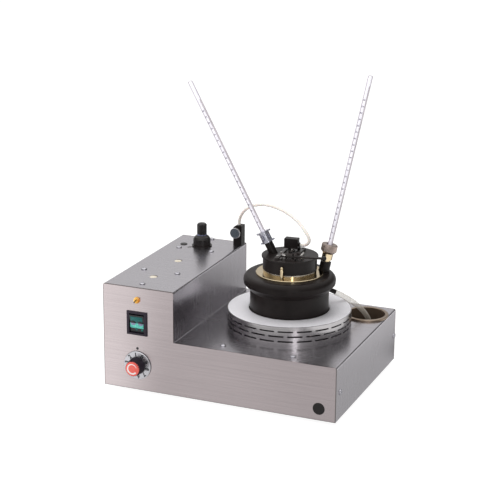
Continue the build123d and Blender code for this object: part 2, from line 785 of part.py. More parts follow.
def make_flow_screw():
    head_back = FLOW_REACH - FLOW_HEAD_T
    head = post(FLOW_HEAD_R, head_back, FLOW_REACH)
    head = chamfer(head.edges().sort_by(Axis.Z)[-1], 0.5)
    notch = Pos(FLOW_HEAD_R + 0.5, 0, head_back - 1) * post(0.9, 0, FLOW_HEAD_T + 2)
    head -= PolarLocations(0, 36) * notch
    return flow_screw_place() * (head + post(FLOW_SHANK_R, 0, head_back))


# ---- rear fittings and pipes --------------------------------------------------------------------

def make_gas_inlet():
    """A bulkhead hose spigot: nut outside, stem through the panel, elbow inside."""
    hexnut = Pos(0, CASE_D, 0) * Rot(-90, 0, 0) * hexagon(INLET_HEX, INLET_HEX_T)
    spigot = along_y(INLET_SPIGOT_R, INLET_SPIGOT_L, CASE_D + INLET_HEX_T)
    spigot = chamfer(spigot.edges().sort_by(Axis.Y)[-1], 0.7)
    inner_end = CASE_D - INLET_STEM_L
    stem = along_y(INLET_STEM_R, INLET_STEM_L, inner_end)
    bore = along_y(INLET_BORE_R, INLET_STEM_L + INLET_HEX_T + 2 * INLET_SPIGOT_L, inner_end)
    seat = along_y(PIPE_R, PIPE_SEAT_L, inner_end)
    return Pos(TOWER_MID_X, 0, INLET_Z) * (hexnut + spigot + stem - bore - seat)


def make_inlet_pipe():
    """Copper pipe from the inlet to the valve's tail."""
    start = (TOWER_MID_X, CASE_D - INLET_STEM_L + PIPE_SEAT_L, INLET_Z)
    turn = (TOWER_MID_X, VALVE_Y, INLET_Z)
    end = (TOWER_MID_X, VALVE_Y, TOWER_H - VALVE_TAIL_L)
    path = FilletPolyline(start, turn, end, radius=PIPE_BEND)
    return sweep(Plane(start, z_dir=(0, -1, 0)) * Circle(PIPE_R), path)


def make_outlet_pipe():
    """Copper pipe from the side of the valve to the gas post."""
    level = TOWER_H - VALVE_TAIL_L + OUTLET_RISE
    start = (TOWER_MID_X + VALVE_TAIL_R, VALVE_Y, level)
    corner = (POST_X, VALVE_Y, level)
    below = (POST_X, POST_Y, level)
    end = (POST_X, POST_Y, TOWER_H + PIPE_IN_POST)
    path = FilletPolyline(start, corner, below, end, radius=OUTLET_BEND)
    return sweep(Plane(start, z_dir=(1, 0, 0)) * Circle(PIPE_R), path)


def mains_screw_places():
    rear = Pos(TOWER_MID_X, CASE_D, MAINS_Z) * Rot(-90, 0, 0)
    out = MAINS_FLANGE_T
    return [rear * Pos(side * MAINS_SCREW_PITCH / 2, 0, out) for side in (-1, 1)]


def make_mains_inlet():
    """A three-pin appliance inlet with its two fixing screws."""
    flange = Box(*MAINS_FLANGE, MAINS_FLANGE_T, align=UPRIGHT)
    flange = fillet(flange.edges().filter_by(Axis.Z), 4)
    body = Box(MAINS_W, MAINS_H, MAINS_DEPTH, align=HANGING)
    wide, high, deep = MAINS_SOCKET
    socket = Box(wide, high, deep, align=HANGING)
    socket = chamfer(socket.edges().filter_by(Axis.Z).sort_by(Axis.Y)[:2], 4)
    shell = flange + body - Pos(0, 0, MAINS_FLANGE_T) * socket
    pin = Box(*MAINS_PIN, align=UPRIGHT)
    floor = MAINS_FLANGE_T - deep
    for x, y in ((-MAINS_PIN_PITCH, -1.5), (0, 2.5), (MAINS_PIN_PITCH, -1.5)):
        shell += Pos(x, y, floor) * pin
    shell = Pos(TOWER_MID_X, CASE_D, MAINS_Z) * Rot(-90, 0, 0) * shell
    holes = [place * screw_hole() for place in mains_screw_places()]
    return [shell - holes] + [place * pan_screw() for place in mains_screw_places()]


# ---- heater and vented ring ---------------------------------------------------------------------

def make_vent_ring():
    """The slotted band that stands on the deck round the heater."""
    band = post(RING_R, DECK_H, RING_TOP_Z) - post(RING_R - RING_WALL, DECK_H, RING_TOP_Z)
    pitch = 360 / SLOTS_PER_ROW
    slot_l = SLOT_SHARE * radians(pitch) * RING_R
    cuts = []
    for row, below_top in enumerate(SLOT_ROWS):
        slot = Pos(RING_R, 0, RING_TOP_Z - below_top) * Box(4 * RING_WALL, slot_l, SLOT_H)
        first = -90 + SLOT_TURN + (row % 2) * pitch / 2
        for index in range(SLOTS_PER_ROW):
            cuts.append(Rot(0, 0, first + (index + 0.5) * pitch) * slot)
    return CUP_AXIS * (band - cuts)


def make_ring_cover():
    """The pale annular plate that closes the ring around the bath."""
    plate = post(RING_R - RING_WALL - SHEET_GAP, RING_TOP_Z - COVER_T, RING_TOP_Z)
    plate -= post(COVER_HOLE_R, RING_TOP_Z - 2 * COVER_T, RING_TOP_Z + COVER_T)
    low = RING_TOP_Z - COVER_T
    skirt = post(RING_R - RING_WALL - SHEET_GAP, low - COVER_SKIRT_H, low)
    skirt -= post(RING_R - RING_WALL - SHEET_GAP - COVER_T, DECK_H, RING_TOP_Z)
    return CUP_AXIS * (plate + skirt)


def make_heater_plate():
    plate = post(HEATER_R, BATH_FLOOR_Z - HEATER_T, BATH_FLOOR_Z)
    return CUP_AXIS * chamfer(plate.edges(), 1.0)


def make_heater_support():
    """A pan under the deck's opening, with legs up to the heater plate."""
    pan_z = DECK_H - SHEET
    pan = post(DECK_HOLE_R + 8, pan_z - SHEET, pan_z)
    leg = post(HEATER_LEG_R, pan_z, BATH_FLOOR_Z - HEATER_T)
    legs = PolarLocations(HEATER_LEG_PCD / 2, HEATER_LEGS, start_angle=90) * leg
    return CUP_AXIS * (pan + legs)


# ---- bath ---------------------------------------------------------------------------------------

def bath_profile(wall):
    """The bath, moved inwards by wall: straight body, sloped and rounded collar, flat top."""
    body_r = BATH_R - wall
    wide_r = COLLAR_R - wall
    top_z = COLLAR_TOP_Z - wall
    low_z = BATH_FLOOR_Z + wall
    corners = [
        (0, low_z),
        (body_r, low_z),
        (body_r, COLLAR_Z),
        (wide_r - COLLAR_SLOPE_IN, COLLAR_Z + COLLAR_SLOPE_H),
        (wide_r, COLLAR_TOP_Z - COLLAR_ROUND),
        (wide_r, top_z),
        (0, top_z),
    ]
    section = make_face(Polyline(*corners, close=True))
    edge = section.vertices().sort_by_distance((wide_r, top_z, 0))[0]
    return revolve(Plane.XZ * fillet(edge, COLLAR_ROUND - wall - BATH_EASE), Axis.Z)


def boss_space(gap):
    return GLAND * post(BOSS_R + gap, -BOSS_ROOT - gap, BOSS_H)


def spout_start():
    """Radius and height of the spout's inner end, inside the bath's wall."""
    return BATH_R - BATH_WALL + SPOUT_ROOT, COLLAR_Z - SPOUT_BELOW_COLLAR


def spout_tube(radius):
    start_r, start_z = spout_start()
    place = SPOUT_AIM * Pos(start_r, 0, start_z) * Rot(0, 90 + SPOUT_DROP, 0)
    return CUP_AXIS * place * post(radius, 0, SPOUT_L)


def make_bath_vessel():
    bath = CUP_AXIS * (bath_profile(0) - bath_profile(BATH_WALL))
    opening = CUP_R + CUP_WALL + CUP_CLEARANCE + 1
    bath -= CUP_AXIS * post(opening, COLLAR_TOP_Z - 2 * BATH_WALL, COLLAR_TOP_Z + 1)
    bath -= boss_space(0)
    return bath - spout_tube(SPOUT_R)


def make_overflow_spout():
    return spout_tube(SPOUT_R) - spout_tube(SPOUT_BORE_R)


def make_cup_seat_ring():
    """The brass ring on the bath's top, with the neck that carries the cup's flange."""
    ring = post(SEAT_RING_R, COLLAR_TOP_Z, SEAT_RING_TOP_Z)
    ring = chamfer(ring.edges().sort_by(Axis.Z)[-1], 0.5)
    ring += post(SEAT_NECK_R, SEAT_RING_TOP_Z, SEAT_Z)
    ring -= post(CUP_R + CUP_WALL + CUP_CLEARANCE, COLLAR_TOP_Z - 1, SEAT_Z + 1)
    ring = CUP_AXIS * ring - boss_space(BOSS_NOTCH)
    return ring - pin_place() * post(PIN_R * 0.6, -SEAT_RING_T - 1, 1)


def pin_place():
    return CUP_AXIS * Rot(0, 0, PIN_TURN) * Pos(PIN_RADIUS, 0, SEAT_RING_TOP_Z)


def make_locking_pin():
    """The brass pin that keeps the lid from turning: stem, waist and round head."""
    waist_z = PIN_H - 4.6
    outline = [
        (0, -SEAT_RING_T),
        (PIN_R * 0.6, -SEAT_RING_T),
        (PIN_R * 0.6, 0),
        (PIN_R, 0),
        (PIN_R, waist_z - 0.8),
        (PIN_R * 0.7, waist_z),
        (PIN_R * 0.7, waist_z + 0.6),
        (0, waist_z + 0.6),
    ]
    pin = turned(outline) + Pos(0, 0, PIN_H - PIN_HEAD_R - 0.9) * Sphere(PIN_HEAD_R + 0.2)
    return pin_place() * pin


# ---- bath thermometer ---------------------------------------------------------------------------

def stem_hole(low, high):
    return post(STEM_R + STEM_GAP, low, high)


def make_thermometer_boss():
    boss = post(BOSS_R, -BOSS_ROOT, BOSS_H)
    boss = chamfer(boss.edges().sort_by(Axis.Z)[-1], 0.6)
    return GLAND * (boss - stem_hole(-BOSS_ROOT - 1, BOSS_H + 1))


def make_gland_body():
    """Brass neck and hexagon screwed into the boss."""
    hex_low = BOSS_H + GLAND_NECK_H
    neck = post(GLAND_NECK_R, BOSS_H, hex_low)
    body = Pos(0, 0, hex_low) * hexagon(GLAND_HEX, GLAND_HEX_H)
    rounder = post(GLAND_HEX / 2 * 1.1, hex_low, GLAND_HEX_TOP)
    return GLAND * ((neck + (body & rounder)) - stem_hole(0, GLAND_HEX_TOP + 1))


def make_gland_nut():
    nut = post(NUT_R, GLAND_HEX_TOP, NUT_TOP)
    nut = chamfer(nut.edges().sort_by(Axis.Z)[0], NUT_CHAMFER)
    nut = chamfer(nut.edges().sort_by(Axis.Z)[-1], 0.8)
    nut -= post(NUT_BORE_R, NUT_TOP - NUT_BORE_H, NUT_TOP + 1)
    return GLAND * (nut - stem_hole(GLAND_HEX_TOP - 1, NUT_TOP + 1))


def thermometer(low, high):
    """A glass stem from its bulb at low to its rounded tip at high."""
    stem = post(STEM_R, low + BULB_L, high)
    stem = fillet(stem.edges().sort_by(Axis.Z)[-1], TIP_R)
    bulb = post(BULB_R, low, low + BULB_L)
    bulb = fillet(bulb.edges().sort_by(Axis.Z)[0], BULB_R * 0.8)
    return stem + bulb


def make_bath_thermometer():
    return GLAND * thermometer(NUT_TOP - BATH_THERMO_BELOW, NUT_TOP + BATH_THERMO_ABOVE)


# ---- overflow vessel ----------------------------------------------------------------------------

def make_overflow_vessel():
    """A beaker let into the deck, hung by its rolled rim."""
    floor_z = DECK_H - VESSEL_DEPTH
    wall = VESSEL_R - VESSEL_WALL
    roll = VESSEL_RIM_H / 2
    cup = post(VESSEL_R, floor_z, DECK_H + roll)
    cup -= post(wall, floor_z + VESSEL_WALL, DECK_H + roll + 1)
    lip = post(VESSEL_RIM_R, DECK_H, DECK_H + VESSEL_RIM_H) - post(wall, DECK_H, DECK_H + VESSEL_RIM_H)
    lip = fillet(lip.edges().filter_by(GeomType.CIRCLE).sort_by(Axis.Z)[-2:], roll * 0.7)
    return Pos(VESSEL_X, VESSEL_Y, 0) * (cup + lip)


# ---- test cup -----------------------------------------------------------------------------------

def make_test_cup():
    """A thin turned cup with the flange that hangs it in the bath."""
    outside = CUP_R + CUP_WALL
    floor_z = CUP_RIM_Z - CUP_DEPTH
    section = [
        (0, floor_z),
        (outside - 3, floor_z),
        (outside, floor_z + 3),
        (outside, SEAT_Z),
        (SEAT_NECK_R, SEAT_Z),
        (SEAT_NECK_R, CUP_FLANGE_TOP_Z),
        (outside, CUP_FLANGE_TOP_Z),
        (outside, CUP_RIM_Z),
        (CUP_R, CUP_RIM_Z),
        (CUP_R, floor_z + CUP_FLOOR_T + 3),
        (CUP_R - 3, floor_z + CUP_FLOOR_T),
        (0, floor_z + CUP_FLOOR_T),
    ]
    return CUP_AXIS * turned(section)


# ---- lid ----------------------------------------------------------------------------------------

def make_lid():
    """The turned lid: a top with three ports and a skirt down to the cup's flange."""
    under = -LID_TOP_T
    top = post(LID_FLANGE_R, -LID_FLANGE_T, 0)
    top = chamfer(top.edges().sort_by(Axis.Z)[-1], 0.5)
    skirt_low = CUP_FLANGE_TOP_Z - LID_TOP_Z + LID_GAP
    body = top + post(LID_SKIRT_R, skirt_low, -LID_FLANGE_T)
    body -= post(CUP_R + CUP_WALL + LID_GAP, skirt_low - 1, under)
    port = Box(PORT_W, PORT_L, 4 * LID_TOP_T)
    body -= Pos(0, PORT_Y, 0) * fillet(port.edges().filter_by(Axis.Z), PORT_CORNER)
    body -= Pos(SIDE_PORT_X, PORT_Y, 0) * post(SIDE_PORT_R, -2 * LID_TOP_T, LID_TOP_T)
    body -= Pos(PIVOT_X, PIVOT_Y, 0) * post(PIVOT_R, -LID_TOP_T - 1, LID_TOP_T)
    body -= Pos(SPRING_POST_X, SPRING_POST_Y, 0) * post(SPRING_POST_R, -LID_SCREW_IN, LID_TOP_T)
    for x, y in rail_screw_places() + [LID_SCREW_XY]:
        body -= Pos(x, y, 0) * post(LID_SCREW_R * 0.6, -LID_SCREW_IN, LID_TOP_T)
    return LID * body - SOCKET * post(SOCKET_R - 1.2, -SOCKET_ROOT - 3, SOCKET_ROOT)


def rail_screw_places():
    left = [(RAIL_LEFT_X[0] + RAIL_SCREW_IN, y) for y in RAIL_LEFT_SCREW_Y]
    right = [(RAIL_RIGHT_X[1] - RAIL_SCREW_IN, y) for y in RAIL_RIGHT_SCREW_Y]
    return left + right


def guide_rail(x, y, edge):
    """A flat guide with a lip over the edge of the shutter slide."""
    rail = block(x, y, (0, RAIL_H))
    rail = chamfer(rail.edges().filter_by(Axis.Y).sort_by(Axis.Z)[-2:], RAIL_CHAMFER)
    groove_top = SLIDE_T + 2 * SLIDE_GAP
    groove = block((edge - RAIL_LIP, edge + RAIL_LIP), (y[0] - 1, y[1] + 1), (0, groove_top))
    return rail - groove


def make_guide_rails():
    left = guide_rail(RAIL_LEFT_X, RAIL_LEFT_Y, RAIL_LEFT_X[1])
    right = guide_rail(RAIL_RIGHT_X, RAIL_RIGHT_Y, RAIL_RIGHT_X[0])
    holes = [Pos(x, y, 0) * post(LID_SCREW_R * 0.6, -1, RAIL_H + 1) for x, y in rail_screw_places()]
    return [LID * (left - holes), LID * (right - holes)]


def make_lid_screws():
    """The rails' four cheese-head screws, one on the lid and the spring's anchor post."""
    screws = []
    for x, y in rail_screw_places() + [LID_SCREW_XY]:
        seat = 0 if (x, y) == LID_SCREW_XY else RAIL_H
        screw = post(LID_SCREW_R, seat, seat + LID_SCREW_HEAD_H)
        screw += post(LID_SCREW_R * 0.6, -LID_SCREW_IN, seat)
        screws.append(LID * Pos(x, y, 0) * screw)
    anchor = post(SPRING_POST_R, -LID_SCREW_IN, spring_z() + SPRING_R)
    screws.append(LID * Pos(SPRING_POST_X, SPRING_POST_Y, 0) * anchor)
    return screws


def slide_edges():
    """The slide's left and right edges, under the rails' lips."""
    return RAIL_LEFT_X[1] - RAIL_LIP + SLIDE_GAP, RAIL_RIGHT_X[0] + RAIL_LIP - SLIDE_GAP


def slide_travel():
    """How far the slide moves to the front while the lever swings through its range."""
    start = radians(DRIVE_ANGLE)
    end = radians(DRIVE_ANGLE - LEVER_TRAVEL)
    return DRIVE_R * (sin(start) - sin(end))


def make_shutter_slide():
    """The sliding shutter: windows that meet the lid's ports at full travel, a fork that clears
    the lever's pivot, and an ear with the drive pin's slot."""
    thick = (SLIDE_GAP, SLIDE_GAP + SLIDE_T)
    through = (-SLIDE_T, 3 * SLIDE_T)
    left, right = slide_edges()
    plate = block((left, right), SLIDE_Y, thick)
    plate += block((left, SLIDE_EAR_X), (SLIDE_Y[0], SLIDE_EAR_BACK), thick)
    travel = slide_travel()
    port_back = PORT_Y + PORT_L / 2
    window = (port_back + PORT_LAP, PORT_Y + travel + PORT_L / 2)
    plate -= block((-PORT_W / 2, PORT_W / 2), window, through)
    plate -= Pos(SIDE_PORT_X, PORT_Y + travel, 0) * post(SIDE_PORT_R, *through)
    room = PIVOT_R + PIVOT_SHOULDER + SLIDE_ROOM
    fork = (2 * SLIDE_Y[0], PIVOT_Y + travel + room)
    plate -= block((PIVOT_X - room, PIVOT_X + room), fork, through)
    reach = DRIVE_PIN_R + DRIVE_GAP
    near = PIVOT_X + DRIVE_R * cos(radians(DRIVE_ANGLE - LEVER_TRAVEL)) - reach
    far = PIVOT_X + DRIVE_R + reach
    level = PIVOT_Y + DRIVE_R * sin(radians(DRIVE_ANGLE))
    slot = block((near, far), (level - reach, level + reach), through)
    return LID * (plate - slot)


def lever_place():
    return LID * Pos(PIVOT_X, PIVOT_Y, 0)


def make_shutter_lever():
    """A flat lever with a round eye, a drive pin and a spring hole."""
    high = LEVER_Z + LEVER_T
    eye = post(LEVER_W * 0.72, LEVER_Z, high)
    arm = Pos(LEVER_L / 2, 0, LEVER_Z) * Box(LEVER_L, LEVER_W, LEVER_T, align=UPRIGHT)
    arm = chamfer(arm.edges().filter_by(Axis.X).sort_by(Axis.Z)[-2:], 0.5)
    lever = Rot(0, 0, LEVER_ANGLE) * (eye + arm)
    pin = post(DRIVE_PIN_R, SLIDE_GAP * 2, high + DRIVE_PIN_TOP)
    angle = radians(DRIVE_ANGLE)
    lever += Pos(DRIVE_R * cos(angle), DRIVE_R * sin(angle), 0) * pin
    lever -= post(PIVOT_R + PIVOT_GAP, 0, high + 1)
    lever -= Rot(0, 0, LEVER_ANGLE) * Pos(LEVER_L, 0, LEVER_Z + LEVER_T / 2) * Sphere(BALL_R)
    return lever_place() * lever


def make_lever_ball():
    return lever_place() * Rot(0, 0, LEVER_ANGLE) * Pos(LEVER_L, 0, LEVER_Z + LEVER_T / 2) * Sphere(BALL_R)


def make_lever_pivot():
    """A shouldered screw: the lever turns on its shoulder between a spacer and the head."""
    high = LEVER_Z + LEVER_T + PIVOT_GAP
    pivot = post(PIVOT_R, -LID_TOP_T, high) + post(PIVOT_HEAD_R, high, high + PIVOT_HEAD_H)
    pivot += post(PIVOT_R + PIVOT_SHOULDER, 0, LEVER_Z - PIVOT_GAP)
    slot = Pos(0, 0, high + PIVOT_HEAD_H) * Box(3 * PIVOT_HEAD_R, 0.8, PIVOT_HEAD_H)
    return lever_place() * (pivot - slot)


def spring_z():
    """The spring lies level with the lever."""
    return LEVER_Z + LEVER_T / 2


def make_return_spring():
    """The close-coiled spring that pulls the lever back, as its outer form."""
    slope = tan(radians(LEVER_ANGLE))
    hold_y = PIVOT_Y + (SPRING_POST_X - PIVOT_X) * slope
    edge_y = hold_y + LEVER_W / 2 / cos(radians(LEVER_ANGLE)) + SPRING_R * slope
    start_y = SPRING_POST_Y - SPRING_POST_R - SPRING_GAP
    coil = along_y(SPRING_R, start_y - edge_y - SPRING_GAP, edge_y + SPRING_GAP)
    return LID * Pos(SPRING_POST_X, 0, spring_z()) * coil


def make_thermometer_socket():
    """The leaning tube that guides the thermometer into the cup."""
    tube = post(SOCKET_R, -SOCKET_R, SOCKET_L)
    tube = SOCKET * tube - LID * Pos(SOCKET_X, SOCKET_Y, -20) * Box(60, 60, 40)
    root = SOCKET * post(SOCKET_R - 1.2, -SOCKET_ROOT - 1.6, SOCKET_ROOT)
    root &= LID * Pos(0, 0, -LID_TOP_T) * Box(120, 120, LID_TOP_T, align=UPRIGHT)
    return tube + root - SOCKET * stem_hole(-3 * SOCKET_R, SOCKET_L + 1)


def make_thermometer_ferrule():
    """The clamp at the top of the socket: a slotted barrel between two lugged flanges."""
    low, high = SOCKET_L, FERRULE_TOP
    barrel = post(FERRULE_R, low, high)
    bottom = post(FERRULE_FLANGE_R, low, low + FERRULE_FLANGE_T)
    top = post(FERRULE_FLANGE_R, high - FERRULE_FLANGE_T, high)
    lug_w, lug_out = FERRULE_LUG
    lug = Pos(FERRULE_FLANGE_R, 0, 0) * Box(lug_out, lug_w, FERRULE_FLANGE_T, align=UPRIGHT)
    body = barrel + bottom + top
    for turn in (0, 180):
        body += Rot(0, 0, turn) * Pos(0, 0, high - FERRULE_FLANGE_T) * lug
        body += Rot(0, 0, turn) * Pos(0, 0, low) * lug
    slot_w, slot_h = FERRULE_SLOT
    middle = (low + high) / 2
    for turn in (30, 90, 150):
        body -= Rot(0, 0, turn) * Pos(0, 0, middle) * Box(3 * FERRULE_R, slot_w, slot_h)
    core = post(STEM_R + 1.4, low, high)
    return SOCKET * (body + core - stem_hole(low - 1, high + 1))


def make_cup_thermometer():
    return SOCKET * thermometer(-CUP_THERMO_BELOW, FERRULE_TOP + CUP_THERMO_ABOVE)


# ---- jet ----------------------------------------------------------------------------------------

def make_jet_bracket():
    """Two ears that carry the jet's trunnion."""
    foot_y = JET_PIVOT_Y + BRACKET_W / 2
    ears = []
    for side in (-1, 1):
        x = sorted((side * BRACKET_X, side * (BRACKET_X + BRACKET_T)))
        ear = block(x, (foot_y - BRACKET_W, foot_y), (0, BRACKET_TOP))
        ear = fillet(ear.edges().filter_by(Axis.X).sort_by(Axis.Z)[-2:], BRACKET_W * 0.4)
        hole = Pos(0, JET_PIVOT_Y, JET_PIVOT_Z) * Rot(0, 90, 0) * Cylinder(TRUNNION_R + TRUNNION_GAP, 80)
        ears.append(LID * (ear - hole))
    return ears


def make_jet_block():
    """The gas chamber with its grooved side, its rear arm and trunnion, and the gas inlet."""
    right = JET_X[1]
    low, high = JET_Z
    body = chamfer(block(JET_X, JET_Y, JET_Z).edges().filter_by(Axis.Y), JET_EDGE)
    arm = (-JET_ARM_W / 2, JET_ARM_W / 2)
    body += block(arm, (JET_Y[1] - JET_EDGE, JET_PIVOT_Y), (low, low + JET_ARM_H))
    axle = Pos(0, JET_PIVOT_Y, JET_PIVOT_Z) * Rot(0, 90, 0)
    body += axle * Cylinder(TRUNNION_R + 1.4, JET_ARM_W)
    body += axle * Cylinder(TRUNNION_R, 2 * (BRACKET_X + BRACKET_T) + 1.2)
    for index in range(JET_GROOVES):
        groove_z = high - (index + 1) * JET_GROOVE_PITCH
        groove = Box(2 * JET_GROOVE_DEEP, 3 * (JET_Y[1] - JET_Y[0]), JET_GROOVE_PITCH / 2)
        body -= Pos(right, JET_Y[0], groove_z) * groove
    inlet = Pos(right - 1, JET_INLET_Y, JET_INLET_Z) * Rot(0, 90, 0)
    body += inlet * Cylinder(GAS_TUBE_R, JET_INLET_L + 1, align=UPRIGHT)
    return LID * body


def make_jet_tip():
    """The burner tip that dips through the lid's port."""
    disc = Pos(*TIP_DISC_XY, 0) * post(TIP_DISC_R, TIP_DISC_Z, TIP_DISC_Z + TIP_DISC_T)
    neck = Pos(TIP_DISC_XY[0], TIP_NECK_Y, 0) * post(TIP_NECK_R, TIP_DISC_Z, JET_Z[0])
    return LID * (disc + neck + Pos(0, TIP_Y, 0) * post(TIP_R, TIP_Z, TIP_DISC_Z))


# ---- soft tubes ---------------------------------------------------------------------------------

def arc_radii(points):
    """As large an arc at each corner as its two runs allow."""
    radii = []
    for before, corner, after in zip(points, points[1:], points[2:]):
        first = Vector(*corner) - Vector(*before)
        second = Vector(*after) - Vector(*corner)
        half_turn = radians(first.get_angle(second)) / 2
        radii.append(ARC_SHARE * min(first.length, second.length) / tan(half_turn))
    return radii


def tube_along(points, radius, name):
    radii = arc_radii(points)
    print(name, "radii", [round(value, 1) for value in radii])
    path = FilletPolyline(*points, radius=radii)
    start = Vector(*points[0])
    direction = Vector(*points[1]) - start
    tube = sweep(Plane(start, z_dir=direction) * Circle(radius), path)
    print(name, "volume over section times length", round(tube.volume / (pi * radius**2 * path.length), 4))
    return tube


def gas_route():
    """Route of the gas tube: straight up off the post, over, and straight into the jet."""
    leave = [(POST_X, POST_Y, POST_TOP_Z), (POST_X, POST_Y, POST_TOP_Z + GAS_RISE)]
    inlet = LID * Pos(JET_X[1] + JET_INLET_L, JET_INLET_Y, JET_INLET_Z)
    enter = [inlet * Pos(GAS_ENTRY, 0, 0), inlet]
    over = [(POST_X + x, POST_Y + y, POST_TOP_Z + z) for x, y, z in GAS_ROUTE]
    return leave + over + [tuple(place.position) for place in enter]


def make_gas_tube():
    return tube_along(gas_route(), GAS_TUBE_R, "gas_tube")


def drain_route():
    """Route of the drain tube: on along the spout, then down into the vessel."""
    start_r, start_z = spout_start()
    drop = radians(SPOUT_DROP)
    straight = []
    for length in (SPOUT_L, SPOUT_L + DRAIN_EXIT):
        straight.append((start_r + length * cos(drop), start_z - length * sin(drop)))
    turn = radians(SPOUT_TURN)
    route = straight + [(VESSEL_REACH + out, DECK_H + up) for out, up in DRAIN_ROUTE]
    return [(CUP_X + r * cos(turn), CUP_Y + r * sin(turn), z) for r, z in route]


def make_drain_tube():
    return tube_along(drain_route(), DRAIN_TUBE_R, "drain_tube")


# ---- export -------------------------------------------------------------------------------------

NODES = {
    "cover": make_cover,
    "front_panel": make_front_panel,
    "rear_panel": make_rear_panel,
    "base_plate": make_base_plate,
    "rubber_feet": make_rubber_feet,
    "deck_screws": lambda: [place * pan_screw() for place in deck_screw_places()],
    "tower_screws": lambda: [place * pan_screw() for place in tower_screw_places()],
    "side_screws": lambda: [place * pan_screw() for place in side_screw_places()],
    "indicator_lens": make_indicator_lens,
    "indicator_body": make_indicator_body,
    "switch_body": make_switch_body,
    "switch_rocker": make_switch_rocker,
    "control_dial": make_control_dial,
    "control_knob": make_control_knob,
    "knob_cap": make_knob_cap,
    "control_spindle": make_control_spindle,
    "energy_regulator": make_energy_regulator,
    "top_plugs": make_top_plugs,
    "blanking_plug": make_blanking_plug,
    "gas_valve_body": make_gas_valve_body,
    "gas_valve_band": make_gas_valve_band,
    "gas_valve_knob": make_gas_valve_knob,
    "gas_post": make_gas_post,
    "flow_screw": make_flow_screw,
    "gas_inlet": make_gas_inlet,
    "inlet_pipe": make_inlet_pipe,
    "outlet_pipe": make_outlet_pipe,
    "mains_inlet": make_mains_inlet,
    "vent_ring": make_vent_ring,
    "ring_cover": make_ring_cover,
    "heater_plate": make_heater_plate,
    "heater_support": make_heater_support,
    "bath_vessel": make_bath_vessel,
    "overflow_spout": make_overflow_spout,
    "drain_tube": make_drain_tube,
    "cup_seat_ring": make_cup_seat_ring,
    "locking_pin": make_locking_pin,
    "thermometer_boss": make_thermometer_boss,
    "gland_body": make_gland_body,
    "gland_nut": make_gland_nut,
    "bath_thermometer": make_bath_thermometer,
    "overflow_vessel": make_overflow_vessel,
    "test_cup": make_test_cup,
    "lid": make_lid,
    "guide_rails": make_guide_rails,
    "lid_screws": make_lid_screws,
    "shutter_slide": make_shutter_slide,
    "shutter_lever": make_shutter_lever,
    "lever_ball": make_lever_ball,
    "lever_pivot": make_lever_pivot,
    "return_spring": make_return_spring,
    "thermometer_socket": make_thermometer_socket,
    "thermometer_ferrule": make_thermometer_ferrule,
    "cup_thermometer": make_cup_thermometer,
    "jet_bracket": make_jet_bracket,
    "jet_block": make_jet_block,
    "jet_tip": make_jet_tip,
    "gas_tube": make_gas_tube,
}

os.makedirs("parts", exist_ok=True)
for node, make in NODES.items():
    made = make()
    pieces = made if isinstance(made, list) else [made]
    solids = [TO_ORIGIN * solid for piece in pieces for solid in piece.solids()]
    shape = solids[0] if len(solids) == 1 else Compound(children=solids)
    export_step(shape, f"parts/{node}.step")
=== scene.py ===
from math import cos, pi, radians, sin, tan

import bmesh
import bpy
from mathutils import Matrix, Vector


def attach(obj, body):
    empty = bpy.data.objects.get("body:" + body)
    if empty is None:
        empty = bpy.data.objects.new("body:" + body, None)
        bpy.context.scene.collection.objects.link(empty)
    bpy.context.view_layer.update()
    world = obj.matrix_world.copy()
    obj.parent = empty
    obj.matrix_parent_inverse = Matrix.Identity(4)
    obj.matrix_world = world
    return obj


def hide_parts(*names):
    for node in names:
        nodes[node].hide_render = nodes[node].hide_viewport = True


# The looks of a closed-cup flash point tester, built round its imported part.
# Places are in the case's own millimetres, as in the part's source, and go to metres through CASE.

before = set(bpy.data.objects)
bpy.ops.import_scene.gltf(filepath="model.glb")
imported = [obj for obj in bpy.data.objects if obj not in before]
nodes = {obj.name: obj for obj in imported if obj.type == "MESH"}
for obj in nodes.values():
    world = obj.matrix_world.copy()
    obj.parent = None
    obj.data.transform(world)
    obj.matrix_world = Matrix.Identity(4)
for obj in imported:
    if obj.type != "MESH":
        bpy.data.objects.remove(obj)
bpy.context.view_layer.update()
scene = bpy.context.scene
scene.view_settings.view_transform = "Standard"


def at(x, y, z):
    return Matrix.Translation((x, y, z))


def turn(angle, axis):
    return Matrix.Rotation(radians(angle), 4, axis)


CASE = Matrix.Scale(0.001, 4) @ at(-162.5, -126.1, 6.0)
PANEL = CASE @ at(49.5, 0, 0) @ turn(90, "X")      # along the controls, +z towards the user
LENS = PANEL @ at(0, 124.6, 0)
SWITCH = PANEL @ at(0, 92.8, 0)
ROCKER = SWITCH @ at(0, 0, -2.5) @ turn(8, "X") @ at(0, 0, 2.5)
KNOB = PANEL @ at(0, 34.5, 0)
CUP = CASE @ at(213.4, 127.0, 0)
GLAND = CUP @ turn(31.3, "Z") @ at(45.7, 0, 146.5) @ turn(12.1, "Y")
LID = CUP @ at(0, 0, 171.8) @ turn(5, "Z")
SOCKET = LID @ at(-23.6, 1.6, 0) @ turn(-27.6, "Y")
NUT_TOP = 38.4
FERRULE_TOP = 31.3


# ---- camera -------------------------------------------------------------------------------------

def set_camera():
    around, above, roll = radians(24.70), radians(16.36), radians(-0.25)
    back = Vector((sin(around) * cos(above), -cos(around) * cos(above), sin(above)))
    right = Vector((cos(around), sin(around), 0))
    up = back.cross(right)
    across = right * cos(roll) + up * sin(roll)
    upright = up * cos(roll) - right * sin(roll)
    camera = bpy.data.objects.new("camera", bpy.data.cameras.new("camera"))
    scene.collection.objects.link(camera)
    turned = Matrix((across, upright, back)).transposed().to_4x4()
    camera.matrix_world = Matrix.Translation((0.72561, -1.79344, 0.76264)) @ turned
    camera.data.sensor_width = 36
    camera.data.lens = 108.79
    camera.data.shift_x = 0.12688
    camera.data.shift_y = -0.0244
    scene.camera = camera


